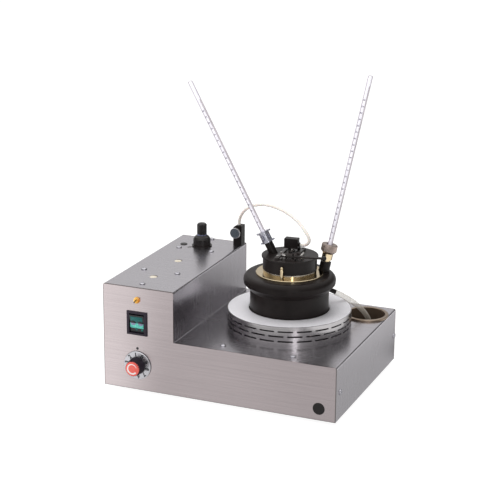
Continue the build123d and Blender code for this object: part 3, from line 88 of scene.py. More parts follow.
# ---- soft tubes ---------------------------------------------------------------------------------

GAS_TUBE_ROUTE = [
    (94.7, 236.3, 170.7), (94.7, 236.3, 176.5), (98.0, 234.0, 184.5), (104.2, 229.7, 193.2),
    (114.5, 222.6, 201.8), (129.5, 212.2, 209.6), (149.5, 198.4, 215.8), (171.5, 183.2, 217.8),
    (193.0, 168.3, 216.2), (211.0, 156.0, 211.4), (224.0, 147.0, 203.8), (232.6, 142.3, 195.6),
    (235.9, 140.9, 188.3), (229.788, 140.480, 182.2), (223.213, 139.904, 182.2),
]
# radius from the cup's axis and height, in the plane through the overflow vessel
DRAIN_TUBE_ROUTE = [
    (67.02, 111.87), (78.06, 105.6), (90.8, 97.0), (102.8, 87.2), (113.0, 76.2),
    (120.6, 63.0), (123.2, 48.0),
]
DRAIN_TURN = 44.23


def soft_tube(name, route, radius, finish, body, node):
    """A flexible tube on one smooth curve through its route, standing for its CAD solid."""
    curve = bpy.data.curves.new(name, "CURVE")
    curve.dimensions = "3D"
    spline = curve.splines.new("NURBS")
    spline.points.add(len(route) - 1)
    for point, place in zip(spline.points, route):
        point.co = (*place, 1)
    spline.order_u = 3
    spline.use_endpoint_u = True
    curve.resolution_u = 16
    curve.bevel_depth = radius
    curve.bevel_resolution = 6
    curve.use_fill_caps = True
    curve.materials.append(finish)
    tube = bpy.data.objects.new(name, curve)
    scene.collection.objects.link(tube)
    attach(tube, body)
    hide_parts(node)


def set_soft_tubes(gas_finish, drain_finish):
    gas = [CASE @ Vector(point) for point in GAS_TUBE_ROUTE]
    soft_tube("gas_hose", gas, 0.00215, gas_finish, "lid_body", "gas_tube")
    plane = CUP @ turn(DRAIN_TURN, "Z")
    drain = [plane @ Vector((out, 0, up)) for out, up in DRAIN_TUBE_ROUTE]
    soft_tube("drain_hose", drain, 0.0036, drain_finish, "tester_case", "drain_tube")


# ---- finishes -----------------------------------------------------------------------------------

def tint(red, green, blue):
    """A colour given in the usual 0 to 255, as the renderer's linear values."""
    steps = [value / 255 for value in (red, green, blue)]
    linear = [v / 12.92 if v <= 0.04045 else ((v + 0.055) / 1.055) ** 2.4 for v in steps]
    return (*linear, 1)


class Wire:
    """A socket in a finish; arithmetic on it adds Math nodes."""

    def __init__(self, finish, socket):
        self.finish, self.socket = finish, socket

    def math(self, operation, *values):
        return self.finish.node("ShaderNodeMath", {"operation": operation}, list(values))

    def __add__(self, other):
        return self.math("ADD", self, other)

    def __sub__(self, other):
        return self.math("SUBTRACT", self, other)

    def __rsub__(self, other):
        return self.math("SUBTRACT", other, self)

    def __mul__(self, other):
        return self.math("MULTIPLY", self, other)

    def __truediv__(self, other):
        return self.math("DIVIDE", self, other)

    def __lt__(self, other):
        return self.math("LESS_THAN", self, other)

    def __gt__(self, other):
        return self.math("GREATER_THAN", self, other)

    def size(self):
        return self.math("ABSOLUTE", self)

    def root(self):
        return self.math("SQRT", self)

    def within(self, low, high):
        """0 at low, 1 at high, and smooth between them."""
        settings = {"interpolation_type": "SMOOTHSTEP"}
        return self.finish.node("ShaderNodeMapRange", settings, [self, low, high, 0.0, 1.0])

    __radd__ = __add__
    __rmul__ = __mul__


class Nodes:
    """The nodes of a material or of the world."""

    def __init__(self, tree):
        self.tree = tree
    def node(self, kind, settings, values, output=0):
        """Adds a node: its settings first, then the values or links of its sockets."""
        made = self.tree.nodes.new(kind)
        for name, value in settings.items():
            setattr(made, name, value)
        named = values.items() if isinstance(values, dict) else enumerate(values)
        for key, value in named:
            self.feed(made.inputs[key], value)
        return Wire(self, made.outputs[output])

    def feed(self, socket, value):
        if isinstance(value, Wire):
            self.tree.links.new(value.socket, socket)
        else:
            socket.default_value = value

    def ray(self, kind):
        """1 for rays of a kind, such as Camera or Glossy."""
        return self.node("ShaderNodeLightPath", {}, {}, f"Is {kind} Ray")


class Finish(Nodes):
    """A material in the making: its surface shader and the nodes that vary it."""

    def __init__(self, name, colour, roughness, metallic=0.0, **constants):
        self.material = bpy.data.materials.new(name)
        self.material.use_nodes = True
        super().__init__(self.material.node_tree)
        self.shader = self.tree.nodes["Principled BSDF"]
        self.put("Base Color", colour)
        self.put("Roughness", roughness)
        self.put("Metallic", metallic)
        for socket, value in constants.items():
            self.put(socket.replace("_", " "), value)

    def put(self, name, value):
        self.feed(self.shader.inputs[name], value)

    def place(self):
        return self.node("ShaderNodeTexCoord", {}, {}, "Object")

    def axes(self, millimetre_origin=(0, 0, 0)):
        """x, y and z in the case's millimetres, from a point of the case."""
        shift = CASE @ Vector(millimetre_origin)
        moved = self.node("ShaderNodeVectorMath", {"operation": "SUBTRACT"}, [self.place(), shift])
        scaled = self.node("ShaderNodeVectorMath", {"operation": "SCALE"}, {0: moved, 3: 1000.0})
        return [self.node("ShaderNodeSeparateXYZ", {}, [scaled], index) for index in range(3)]

    def noise(self, scale, detail=2.0, roughness=0.5):
        """Noise on the piece; scale is one number, or one for each axis, per metre."""
        per_axis = scale if isinstance(scale, tuple) else (scale,) * 3
        stretched = self.node("ShaderNodeMapping", {}, {"Vector": self.place(), "Scale": per_axis})
        values = {"Vector": stretched, "Scale": 1.0, "Detail": detail, "Roughness": roughness}
        return self.node("ShaderNodeTexNoise", {}, values, "Fac")

    def blend(self, factor, first, second):
        """A colour between two, by factor."""
        settings = {"data_type": "RGBA"}
        return self.node("ShaderNodeMix", settings, {0: factor, 6: first, 7: second}, 2)

    def bump(self, height, strength, distance):
        values = {"Strength": strength, "Distance": distance, "Height": height}
        self.put("Normal", self.node("ShaderNodeBump", {}, values))


def shade(colour, share):
    """A darker or lighter version of a colour."""
    return (*[min(1.0, channel * share) for channel in colour[:3]], 1)


def brushed_sheet(name, colour, grain, seam_shade=None, roughness=0.22):
    """Brushed stainless sheet: fine grain lines, faint broad ones, smudges, and dark lines at seams and
    folds that are painted shade.
    """
    finish = Finish(name, colour, roughness, 1.0)
    fine = finish.noise(tuple(3600 if g else 14 for g in grain), 2.0, 0.6)
    broad = finish.noise(tuple(700 if g else 5 for g in grain), 1.0)
    speck = finish.noise(650, 3.0, 0.7)
    smudge = finish.noise(16, 3.0, 0.55)
    base = finish.blend(fine.within(0.25, 0.75), shade(colour, 0.92), shade(colour, 1.07))
    base = finish.blend(broad.within(0.35, 0.7) * 0.2, base, shade(colour, 0.82))
    base = finish.blend(speck.within(0.5, 0.75) * 0.3, base, shade(colour, 0.6))
    base = finish.blend(smudge.within(0.4, 0.75) * 0.12, base, shade(colour, 0.85))
    # seams: thin dark lines along joints and folds, painted shade
    if seam_shade:
        base = finish.blend(seam_shade(finish) * 0.75, base, tint(58, 50, 46))
    finish.put("Base Color", base)
    finish.put("Roughness", (fine - 0.5) * 0.06 + (smudge - 0.5) * 0.08 + roughness)
    return finish.material


def cover_seams_and_fold_shade(finish):
    """The hairline where the cover meets the front and rear panels, partly painted shadow, and painted shade
    along the folds at the tower's edge and the deck's right edge.
    """
    across, deep, up = finish.axes()
    front = (deep < 2.0) * (deep > 0.9)
    rear = (deep > 246.05) * (deep < 247.0)
    # painted shade along the fold at the tower's edge and along the deck's right edge
    fold_shade = ((across - 118.8).size() < 0.45) * (up > 141.0)
    edge = ((across - 324.7).size() < 0.5) * (up > 72.2)
    return front + rear + fold_shade + edge


def panel_edge_shadow(finish):
    """A thin shadow round the edge of a panel, where it is folded."""
    across, deep, up = finish.axes()
    foot = (up < 0.6) * (deep.size() < 1.0)
    sides = (across < 0.7) + (across > 324.3)
    top = (up > 141.2) * (deep.size() < 1.0)
    return foot + top + sides * (deep.size() < 1.0)


def satin_black(name, grey, roughness, grain, depth, wear=0.0, sheen=0.3):
    """Blackened or painted metal: fine tooth, cloudy sheen and, where it is worn, bare specks."""
    colour = tint(grey + 5, grey, grey - 1)
    finish = Finish(name, colour, roughness, 0.0, Specular_IOR_Level=sheen)
    tooth = finish.noise(grain, 4.0, 0.65)
    cloud = finish.noise(38, 3.0, 0.55)
    base = finish.blend(cloud.within(0.3, 0.7), shade(colour, 0.75), shade(colour, 1.35))
    if wear:
        rub = finish.noise(420, 4.0, 0.7).within(0.68, 0.8)
        base = finish.blend(rub * wear, base, tint(96, 90, 86))
    finish.put("Base Color", base)
    finish.put("Roughness", (cloud - 0.5) * 0.25 + (tooth - 0.5) * 0.2 + roughness)
    finish.bump(tooth, 0.2, depth)
    return finish.material


def plated_metal(name, colour, roughness, spots=0.5, grain=240):
    """Plated or polished small hardware with a few dull spots."""
    finish = Finish(name, colour, roughness, 1.0)
    spot = finish.noise(grain, 4.0, 0.65)
    cloud = finish.noise(70, 2.0)
    base = finish.blend(spot.within(0.5, 0.78) * spots, colour, shade(colour, 0.6))
    finish.put("Base Color", finish.blend(cloud * 0.3, base, shade(colour, 1.15)))
    finish.put("Roughness", spot.within(0.4, 0.8) * 0.2 + roughness)
    finish.bump(spot, 0.08, 0.0001)
    return finish.material


def moulded_plastic(name, colour, roughness, texture=1300, depth=0.00012, coat=0.0):
    """Moulded plastic: fine spark-eroded texture and slight colour flow."""
    finish = Finish(name, colour, roughness, 0.0, Coat_Weight=coat, Specular_IOR_Level=0.35)
    flow = finish.noise(45, 2.0)
    tooth = finish.noise(texture, 2.0, 0.6)
    base = finish.blend(flow.within(0.3, 0.7), shade(colour, 0.9), shade(colour, 1.1))
    finish.put("Base Color", base)
    finish.put("Roughness", (tooth - 0.5) * 0.2 + roughness)
    finish.bump(tooth, 0.15, depth)
    return finish.material


def soft_rubber(name, colour):
    finish = Finish(name, colour, 0.7, 0.0)
    dust = finish.noise(120, 4.0, 0.6)
    base = finish.blend(dust.within(0.45, 0.75) * 0.35, colour, tint(96, 92, 88))
    finish.put("Base Color", base)
    finish.put("Roughness", dust * 0.2 + 0.6)
    finish.bump(dust, 0.2, 0.0002)
    return finish.material


def clear_glass(name):
    """The stems' milky glass, with painted shade darkening it towards its edges and a faint glow of its own
    colour as painted light.
    """
    # Emission: a faint glow of the glass's colour, painted light
    finish = Finish(name, tint(250, 249, 252), 0.08, 0.0, IOR=1.47, Emission_Strength=0.35)
    edge = finish.node("ShaderNodeLayerWeight", {}, {"Blend": 0.5}, "Facing")
    draw = finish.noise((160, 160, 9), 1.0)
    tone = finish.blend(draw.within(0.3, 0.7), tint(247, 245, 251), tint(238, 236, 245))
    # darker towards the grazing edges: painted shade
    milk_with_edge_shade = finish.blend(edge.within(0.05, 0.5), tone, tint(160, 152, 161))
    finish.put("Base Color", milk_with_edge_shade)
    finish.put("Emission Color", milk_with_edge_shade)
    finish.put("Roughness", draw * 0.06 + 0.05)
    finish.put("Alpha", edge * 0.15 + 0.85)
    return finish.material


def cream_tubing(name):
    """Translucent silicone tube, a little yellowed, with a soft gloss."""
    colour = tint(244, 236, 230)
    finish = Finish(
        name, colour, 0.32, 0.0, Subsurface_Weight=0.2, Subsurface_Radius=(0.003, 0.002, 0.0015),
        Subsurface_Scale=1.0, IOR=1.41, Coat_Weight=0.05, Specular_IOR_Level=0.25,
    )
    cloud = finish.noise(60, 2.0)
    base = finish.blend(cloud.within(0.35, 0.75), tint(245, 238, 231), tint(238, 228, 221))
    finish.put("Base Color", base)
    finish.put("Roughness", (cloud - 0.5) * 0.15 + 0.3)
    return finish.material


def clear_tubing(name):
    """The clear drain tube: it takes the tone of what is behind it."""
    colour = tint(226, 219, 208)
    finish = Finish(name, colour, 0.15, 0.0, IOR=1.45, Coat_Weight=0.6, Coat_Roughness=0.08)
    edge = finish.node("ShaderNodeLayerWeight", {}, {"Blend": 0.45}, "Facing")
    cloud = finish.noise(80, 2.0)
    finish.put("Base Color", finish.blend(cloud, tint(236, 230, 222), tint(206, 196, 180)))
    finish.put("Roughness", cloud * 0.12 + 0.08)
    finish.put("Alpha", 0.38 + edge.within(0.2, 1.0) * 0.45)
    return finish.material


def amber_lens(name):
    """Moulded amber plastic, with a painted highlight, near white, at its left and painted shade, a deeper
    orange, towards its right.
    """
    finish = Finish(name, tint(255, 184, 52), 0.14, 0.0, IOR=1.5, Coat_Weight=0.4)
    across, deep, up = finish.axes((49.5, 0, 124.6))
    # near white at the left: painted highlight; deeper orange at the right: painted shade
    base = finish.blend(across.within(-4.2, -0.4), tint(255, 238, 196), tint(255, 190, 66))
    base = finish.blend(across.within(1.0, 4.5), base, tint(248, 150, 26))
    base = finish.blend(finish.noise(500, 2.0).within(0.45, 0.7) * 0.3, base, tint(255, 222, 130))
    finish.put("Base Color", base)
    finish.put("Roughness", finish.noise(400) * 0.1 + 0.08)
    return finish.material


def plug_finish(name):
    """Cream plastic plugs; the small one beside the valve is a grey metal one."""
    finish = Finish(name, tint(232, 222, 200), 0.45)
    x, y, z = finish.axes((36.5, 194.0, 142))
    metal = (x * x + y * y) < 20.0
    flow = finish.noise(160, 2.0)
    cream = finish.blend(flow.within(0.35, 0.7), tint(222, 213, 196), tint(206, 195, 174))
    finish.put("Base Color", finish.blend(metal, cream, tint(150, 148, 150)))
    finish.put("Metallic", metal * 1.0)
    finish.put("Roughness", 0.45 - metal * 0.15 + (flow - 0.5) * 0.1)
    finish.bump(finish.noise(1200), 0.1, 0.0001)
    return finish.material


def inlet_finish(name):
    """Black moulding, with bright pins and fixing screws."""
    finish = Finish(name, tint(26, 25, 26), 0.4)
    x, y, z = finish.axes((49.5, 248, 34))
    screws = (x.size() > 16.0) * ((x.size() - 20.0).size() < 3.4) * (z.size() < 3.4) * (y > 2.45)
    pins = (x.size() < 8.0) * (z.size() < 5.0) * (y > -12.4) * (y < -0.4)
    metal = screws + pins
    tooth = finish.noise(1300)
    finish.put("Base Color", finish.blend(metal, tint(26, 25, 26), tint(186, 180, 170)))
    finish.put("Metallic", metal * 1.0)
    finish.put("Roughness", 0.42 - metal * 0.15 + (tooth - 0.5) * 0.2)
    finish.bump(tooth, 0.15, 0.0001)
    return finish.material


def vessel_finish(name):
    """Spun metal: a brownish bright rim, and an inside painted dark as shade, darker towards its bottom."""
    finish = Finish(name, tint(150, 132, 112), 0.3, 1.0)
    x, y, z = finish.axes((295.8, 207.2, 0))
    radius = (x * x + y * y).root()
    inside = (radius < 25.6) * 1.0
    stain = finish.noise(75, 4.0, 0.6)
    rim = finish.blend(stain.within(0.4, 0.75), tint(158, 142, 126), tint(128, 108, 90))
    # painted shade inside the vessel, darker towards its bottom
    well_shade = finish.blend(z.within(20, 74), tint(62, 52, 44), tint(106, 90, 76))
    finish.put("Base Color", finish.blend(inside, rim, well_shade))
    finish.put("Metallic", 1.0 - inside * 0.75)
    finish.put("Roughness", stain * 0.25 + 0.2)
    return finish.material


def ring_finish(name):
    """The vented band: brushed round its length."""
    colour = tint(196, 193, 194)
    finish = Finish(name, colour, 0.2, 1.0)
    line = finish.noise((9, 9, 2200), 2.0, 0.6)
    smudge = finish.noise(30, 3.0)
    base = finish.blend(line.within(0.3, 0.7), shade(colour, 0.86), shade(colour, 1.1))
    base = finish.blend(smudge.within(0.5, 0.8) * 0.25, base, shade(colour, 0.7))
    finish.put("Base Color", base)
    finish.put("Roughness", (line - 0.5) * 0.12 + smudge * 0.1 + 0.17)
    finish.bump(line, 0.06, 0.0001)
    return finish.material


def cast_cover(name):
    """The pale cast cover ring: fine cast grain, and painted shade next to the bath, under its collar."""
    colour = tint(234, 232, 236)
    finish = Finish(name, colour, 0.5, 0.15)
    x, y, z = finish.axes((213.4, 127, 0))
    radius = (x * x + y * y).root()
    grain = finish.noise(800, 4.0, 0.7)
    cloud = finish.noise(26, 3.0)
    base = finish.blend(grain.within(0.3, 0.7), shade(colour, 0.9), shade(colour, 1.06))
    base = finish.blend(cloud.within(0.45, 0.8) * 0.25, base, tint(182, 176, 178))
    # darker next to the bath, under its collar: painted shade
    collar_shade = (1.0 - radius.within(52, 57)) * 0.5
    finish.put("Base Color", finish.blend(collar_shade, base, tint(120, 112, 108)))
    finish.put("Roughness", grain * 0.2 + 0.4)
    finish.bump(grain, 0.25, 0.0002)
    return finish.material


def rocker_finish(name):
    finish = Finish(name, tint(24, 26, 28), 0.28)
    flow = finish.noise(240, 2.0)
    finish.put("Base Color", finish.blend(flow, tint(20, 22, 24), tint(34, 36, 40)))
    finish.put("Roughness", flow * 0.2 + 0.2)
    finish.bump(finish.noise(1400), 0.1, 0.0001)
    return finish.material


def window_finish(name, colour, deep):
    """A tinted window with a soft gloss, deeper in colour in patches."""
    finish = Finish(name, colour, 0.3, 0.0, Specular_IOR_Level=0.3)
    flow = finish.noise(330, 2.0)
    finish.put("Base Color", finish.blend(flow.within(0.35, 0.7), colour, deep))
    finish.put("Roughness", flow * 0.15 + 0.22)
    return finish.material


def ink(name, colour):
    """Printed or filled marks, with slight wear in the ink."""
    finish = Finish(name, colour, 0.5)
    worn = finish.noise(1500, 3.0, 0.7)
    finish.put("Base Color", finish.blend(worn.within(0.62, 0.85) * 0.2, colour, tint(120, 120, 120)))
    finish.put("Roughness", worn * 0.2 + 0.4)
    return finish.material


def dial_finish(name):
    """Spun aluminium dial: rings about the spindle."""
    colour = tint(206, 205, 210)
    finish = Finish(name, colour, 0.26, 1.0)
    across, deep, up = finish.axes((49.5, 0, 34.5))
    radius = (across * across + up * up).root()
    ring = finish.node("ShaderNodeMath", {"operation": "SINE"}, [radius * 16.0])
    fine = finish.noise(700, 2.0)
    base = finish.blend(ring.within(-1, 1), shade(colour, 0.92), shade(colour, 1.06))
    finish.put("Base Color", finish.blend(fine.within(0.5, 0.8) * 0.3, base, shade(colour, 0.75)))
    finish.put("Roughness", ring * 0.03 + fine * 0.1 + 0.2)
    finish.bump(ring, 0.1, 0.0001)
    return finish.material


def flow_head_finish(name):
    """Bright steel; the flow screw's face is a darker blue-grey inside its bright rim."""
    finish = Finish(name, tint(196, 194, 196), 0.22, 1.0)
    across, deep, up = finish.axes((94.7, 236.3, 162))
    radius = (across * across + up * up).root()
    face = (1.0 - radius.within(6.4, 6.9)) * (deep < -15.7)
    grain = finish.noise(420, 3.0)
    base = finish.blend(grain.within(0.35, 0.75), tint(206, 205, 208), tint(168, 164, 164))
    finish.put("Base Color", finish.blend(face, base, tint(122, 132, 140)))
    finish.put("Roughness", grain * 0.15 + 0.16)
    finish.bump(grain, 0.08, 0.0001)
    return finish.material


def cap_finish(name):
    colour = tint(242, 104, 92)
    finish = Finish(name, colour, 0.35, 0.0, Coat_Weight=0.2)
    flow = finish.noise(180, 3.0)
    finish.put("Base Color", finish.blend(flow, tint(244, 110, 98), tint(234, 92, 80)))
    finish.put("Roughness", flow * 0.2 + 0.25)
    finish.bump(finish.noise(1400), 0.1, 0.0001)
    return finish.material


def make_finishes():
    front = tint(203, 192, 193)
    return {
        "stainless": brushed_sheet("stainless_sheet", front, (0, 0, 1), panel_edge_shadow),
        "deck_steel": brushed_sheet("cover_sheet", tint(202, 198, 203), (0, 1, 0), cover_seams_and_fold_shade, 0.26),
        "dark_steel": ring_finish("vented_band"),
        "pale_metal": cast_cover("cast_cover_ring"),
        "screw_steel": plated_metal("zinc_screws", tint(196, 194, 200), 0.16, 0.2),
        "bright_steel": plated_metal("bright_steel", tint(200, 197, 194), 0.16),
        "flow_head": flow_head_finish("flow_screw_steel"),
        "chrome": plated_metal("chromed_clamp", tint(190, 190, 200), 0.16, 0.08, 90),
        "nickel": plated_metal("nickelled_cup", tint(196, 188, 176), 0.2),
        "nickel_warm": plated_metal("nickelled_nut", tint(176, 161, 153), 0.3, 0.6, 500),
        "bath_black": satin_black("bath_paint", 25, 0.36, 900, 0.0001, sheen=0.16),
        "valve_brown": satin_black("valve_enamel", 25, 0.3, 500, 0.00005, sheen=0.45),
        "vessel_metal": vessel_finish("spun_vessel"),
        "brass": plated_metal("polished_brass", tint(222, 203, 168), 0.12, 0.12, 60),
        "copper": plated_metal("copper_pipe", tint(186, 116, 82), 0.3),
        "cast_plate": plated_metal("heater_casting", tint(150, 148, 146), 0.5, 0.6, 500),
        "black_metal": satin_black("blackened_metal", 25, 0.36, 1100, 0.0001, wear=0.1, sheen=0.2),
        "rail_black": satin_black("worn_black_slides", 46, 0.3, 900, 0.0001, wear=0.06, sheen=0.6),
        "black_plastic": moulded_plastic("black_moulding", tint(30, 27, 27), 0.36),
        "switch_frame": moulded_plastic("switch_moulding", tint(38, 29, 42), 0.45),
        "rubber_black": soft_rubber("rubber_feet", tint(30, 29, 30)),
        "lens_amber": amber_lens("amber_jewel"),
        "rocker_teal": rocker_finish("rocker_moulding"),
        "dial_silver": dial_finish("spun_dial"),
        "cap_red": cap_finish("red_cap"),
        "plug_cream": plug_finish("hole_plugs"),
        "tube_cream": cream_tubing("silicone_tube"),
        "tube_clear": clear_tubing("clear_tube"),
        "thermometer_glass": clear_glass("thermometer_stem"),
        "inlet": inlet_finish("inlet_moulding"),
        "teal_dark": window_finish("rocker_window", tint(36, 108, 104), tint(24, 88, 88)),
        "teal_dim": window_finish("rocker_spot", tint(36, 118, 106), tint(24, 90, 84)),
        "teal_bright": window_finish("rocker_light", tint(112, 212, 194), tint(84, 190, 176)),
        "lilac": window_finish("rocker_prism", tint(150, 158, 186), tint(120, 124, 150)),
        "ink_black": ink("black_ink", tint(30, 30, 34)),
        "ink_grey": ink("etched_ink", tint(116, 110, 124)),
        # painted shadow round the plugs' holes
        "hole_edge_shadow": moulded_plastic("hole_edge_shadow", tint(72, 64, 60), 0.5),
        "ink_white": ink("white_ink", tint(244, 240, 238)),
        "valve_band": plated_metal("valve_band", tint(128, 132, 160), 0.3, 0.3),
        "mercury": plated_metal("mercury_thread", tint(176, 180, 188), 0.08, 0.2),
        # greyed enamel: painted shade along the stems' side
        "enamel_side_shade": moulded_plastic("enamel_back_side_shade", tint(220, 212, 218), 0.3),
    }


NODE_FINISH = {
    "stainless": ["base_plate", "front_panel", "heater_support", "rear_panel"],
    "deck_steel": ["cover"],
    "thermometer_glass": ["bath_thermometer", "cup_thermometer"],
    "bath_black": ["bath_vessel"],
    "black_plastic": [
        "blanking_plug", "energy_regulator", "gas_valve_knob", "indicator_body",
        "lever_ball",
    ],
    "switch_frame": ["control_knob", "switch_body"],
    "rail_black": ["guide_rails", "shutter_slide"],
    "inlet": ["mains_inlet"],
    "dial_silver": ["control_dial"],
    "bright_steel": [
        "control_spindle", "jet_tip", "lever_pivot", "lid_screws", "return_spring",
    ],
    "flow_head": ["flow_screw"],
    "valve_band": ["gas_valve_band"],
    "brass": ["cup_seat_ring", "gas_inlet", "gland_body", "locking_pin"],
    "screw_steel": ["deck_screws", "side_screws", "tower_screws"],
    "tube_cream": ["drain_tube", "gas_tube"],
    "black_metal": [
        "gas_post", "jet_block", "jet_bracket", "lid", "overflow_spout", "shutter_lever",
        "thermometer_boss", "thermometer_socket",
    ],
    "valve_brown": ["gas_valve_body"],
    "nickel_warm": ["gland_nut"],
    "cast_plate": ["heater_plate"],
    "lens_amber": ["indicator_lens"],
    "copper": ["inlet_pipe", "outlet_pipe"],
    "cap_red": ["knob_cap"],
    "vessel_metal": ["overflow_vessel"],
    "pale_metal": ["ring_cover"],
    "rubber_black": ["rubber_feet"],
    "rocker_teal": ["switch_rocker"],
    "nickel": ["test_cup"],
    "chrome": ["thermometer_ferrule"],
    "plug_cream": ["top_plugs"],
    "dark_steel": ["vent_ring"],
}


def dress_nodes(finishes):
    for name, members in NODE_FINISH.items():
        for member in members:
            for slot in nodes[member].material_slots:
                slot.material = finishes[name]


# ---- shaping ------------------------------------------------------------------------------------

def spun(profile, steps=48, sweep=360):
    """A turned shape: (radius, height) points spun about the z axis."""
    shape = bmesh.new()
    line = [shape.verts.new((radius, 0, height)) for radius, height in profile]
    edges = [shape.edges.new(pair) for pair in zip(line, line[1:])]
    bmesh.ops.spin(
        shape, geom=line + edges, axis=(0, 0, 1), cent=(0, 0, 0), angle=radians(sweep),
        steps=steps, use_merge=sweep == 360,
    )
    bmesh.ops.remove_doubles(shape, verts=shape.verts, dist=1e-4)
    return shape


def plate(outline, low, high, edge=0.0):
    """A flat plate from its outline, with its edges eased."""
    shape = bmesh.new()
    face = shape.faces.new([shape.verts.new((x, y, low)) for x, y in outline])
    grown = bmesh.ops.extrude_face_region(shape, geom=[face])["geom"]
    top = [part for part in grown if isinstance(part, bmesh.types.BMVert)]
    bmesh.ops.translate(shape, verts=top, vec=(0, 0, high - low))
    if edge:
        bmesh.ops.bevel(
            shape, geom=shape.edges[:], offset=edge, segments=2, profile=0.5, affect="EDGES",
            material=-1,
        )
    return shape


def add(whole, shape, place=Matrix.Identity(4)):
    """Adds a shape to a larger one at a place, and lets the shape go."""
    shape.transform(place)
    holder = bpy.data.meshes.new("holder")
    shape.to_mesh(holder)
    shape.free()
    whole.from_mesh(holder)
    bpy.data.meshes.remove(holder)
    return whole


def set_piece(name, shape, place, body, finish, replaces=(), crease=32):
    """Puts a finished shape in its place in metres and lets it ride on its body."""
    shape.transform(place)
    bmesh.ops.recalc_face_normals(shape, faces=shape.faces[:])
    mesh = bpy.data.meshes.new(name)
    shape.to_mesh(mesh)
    shape.free()
    mesh.materials.append(finish)
    mesh.shade_smooth()
    mesh.set_sharp_from_angle(angle=radians(crease))
    piece = bpy.data.objects.new(name, mesh)
    scene.collection.objects.link(piece)
    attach(piece, body)
    if replaces:
        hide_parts(*replaces)
    return piece


# ---- case screws --------------------------------------------------------------------------------

def cross_screw():
    """A pan head screw with a cross recess; its head stands above z = 0."""
    narrow, wide, face, deep = 0.5, 1.95, 1.85, 0.75
    outline = [
        (narrow, wide), (-narrow, wide), (-narrow, narrow), (-wide, narrow), (-wide, -narrow),
        (-narrow, -narrow), (-narrow, -wide), (narrow, -wide), (narrow, -narrow), (wide, -narrow),
        (wide, narrow), (narrow, narrow),
    ]
    shape = bmesh.new()
    cross = [shape.verts.new((x, y, face)) for x, y in outline]
    mouth = [shape.edges.new(pair) for pair in zip(cross, cross[1:] + cross[:1])]
    ring = bmesh.ops.create_circle(shape, segments=24, radius=2.35)["verts"]
    bmesh.ops.translate(shape, verts=ring, vec=(0, 0, face))
    rim = list({edge for vert in ring for edge in vert.link_edges})
    bmesh.ops.bridge_loops(shape, edges=mouth + rim)
    floor = bmesh.ops.extrude_edge_only(shape, edges=mouth)["geom"]
    floor_verts = [part for part in floor if isinstance(part, bmesh.types.BMVert)]
    bmesh.ops.translate(shape, verts=floor_verts, vec=(0, 0, -deep))
    bmesh.ops.scale(shape, verts=floor_verts, vec=(0.7, 0.7, 1))
    bmesh.ops.contextual_create(shape, geom=[p for p in floor if isinstance(p, bmesh.types.BMEdge)])
    for radius_share, drop in ((1.35, -0.2), (1.17, -0.45), (1.07, -0.65), (1.0, -0.5)):
        outer = bmesh.ops.extrude_edge_only(shape, edges=rim)["geom"]
        verts = [part for part in outer if isinstance(part, bmesh.types.BMVert)]
        rim = [part for part in outer if isinstance(part, bmesh.types.BMEdge)]
        bmesh.ops.scale(shape, verts=verts, vec=(radius_share, radius_share, 1))
        bmesh.ops.translate(shape, verts=verts, vec=(0, 0, drop))
    bmesh.ops.contextual_create(shape, geom=rim)
    return shape


def set_case_screws(finishes):
    groups = {
        "tower_screws": [at(x, y, 142) for x in (23.5, 73.0) for y in (75, 187)]
        + [at(49.5, 17, 142), at(49.5, 243, 142)],
        "deck_screws": [at(x, y, 73) for x in (164.5, 261.0) for y in (17, 231)],
        "side_screws": [at(325, y, 35.5) @ turn(90, "Y") for y in (17, 242.5)]
        + [at(0, y, 35.5) @ turn(-90, "Y") for y in (17, 242.5)],
    }
    for node, places in groups.items():
        whole = bmesh.new()
        for index, place in enumerate(places):
            add(whole, cross_screw(), place @ turn(17 + 31 * index, "Z"))
        piece = node.replace("_screws", "_screw_heads")
        set_piece(piece, whole, CASE, "tester_case", finishes["screw_steel"], [node])


def set_plugs(finishes):
    """The hole plugs of the tower's top, each with a dark ring set off behind it as painted shadow on the
    far edge of its hole, so that the plug looks a little below that edge.
    """
    discs, hole_shadows = bmesh.new(), bmesh.new()
    for x, y, radius in ((49.5, 50.6, 4.9), (49.5, 128.4, 4.9), (36.5, 194.0, 2.9)):
        disc = [(0, 0.12), (radius - 0.3, 0.1), (radius, 0.07), (radius, -0.3), (0, -0.3)]
        # the dark ring, set off towards the back: painted shadow of the hole's far edge
        hole_shadow = [(0, 0.04), (radius + 0.2, 0.04), (radius + 0.3, 0), (radius + 0.3, -0.3), (0, -0.3)]
        add(discs, spun(disc, 40), at(x, y - 0.8, 142))
        add(hole_shadows, spun(hole_shadow, 40), at(x, y + 1.2, 142))
    set_piece(
        "hole_plugs", discs, CASE, "tester_case", finishes["plug_cream"],
        ["top_plugs"],
    )
    set_piece("plug_hole_shadows", hole_shadows, CASE, "tester_case", finishes["hole_edge_shadow"])


# ---- front controls -----------------------------------------------------------------------------

def numeral(text, height, weight=0.12):
    """A number as a thin solid, centred on the origin."""
    letter = bpy.data.curves.new("numeral", "FONT")
    letter.body = text
    letter.size = height / 0.73
    letter.align_x = "CENTER"
    letter.extrude = 0.06
    letter.offset = weight
    letter.resolution_u = 4
    holder = bpy.data.objects.new("numeral", letter)
    scene.collection.objects.link(holder)
    bpy.context.view_layer.update()
    mesh = bpy.data.meshes.new_from_object(holder.evaluated_get(bpy.context.evaluated_depsgraph_get()))
    shape = bmesh.new()
    shape.from_mesh(mesh)
    bmesh.ops.remove_doubles(shape, verts=shape.verts, dist=1e-4)
    bpy.data.objects.remove(holder)
    bpy.data.curves.remove(letter)
    bpy.data.meshes.remove(mesh)
    bmesh.ops.translate(shape, verts=shape.verts, vec=(0, -height / 2, 0))
    return shape


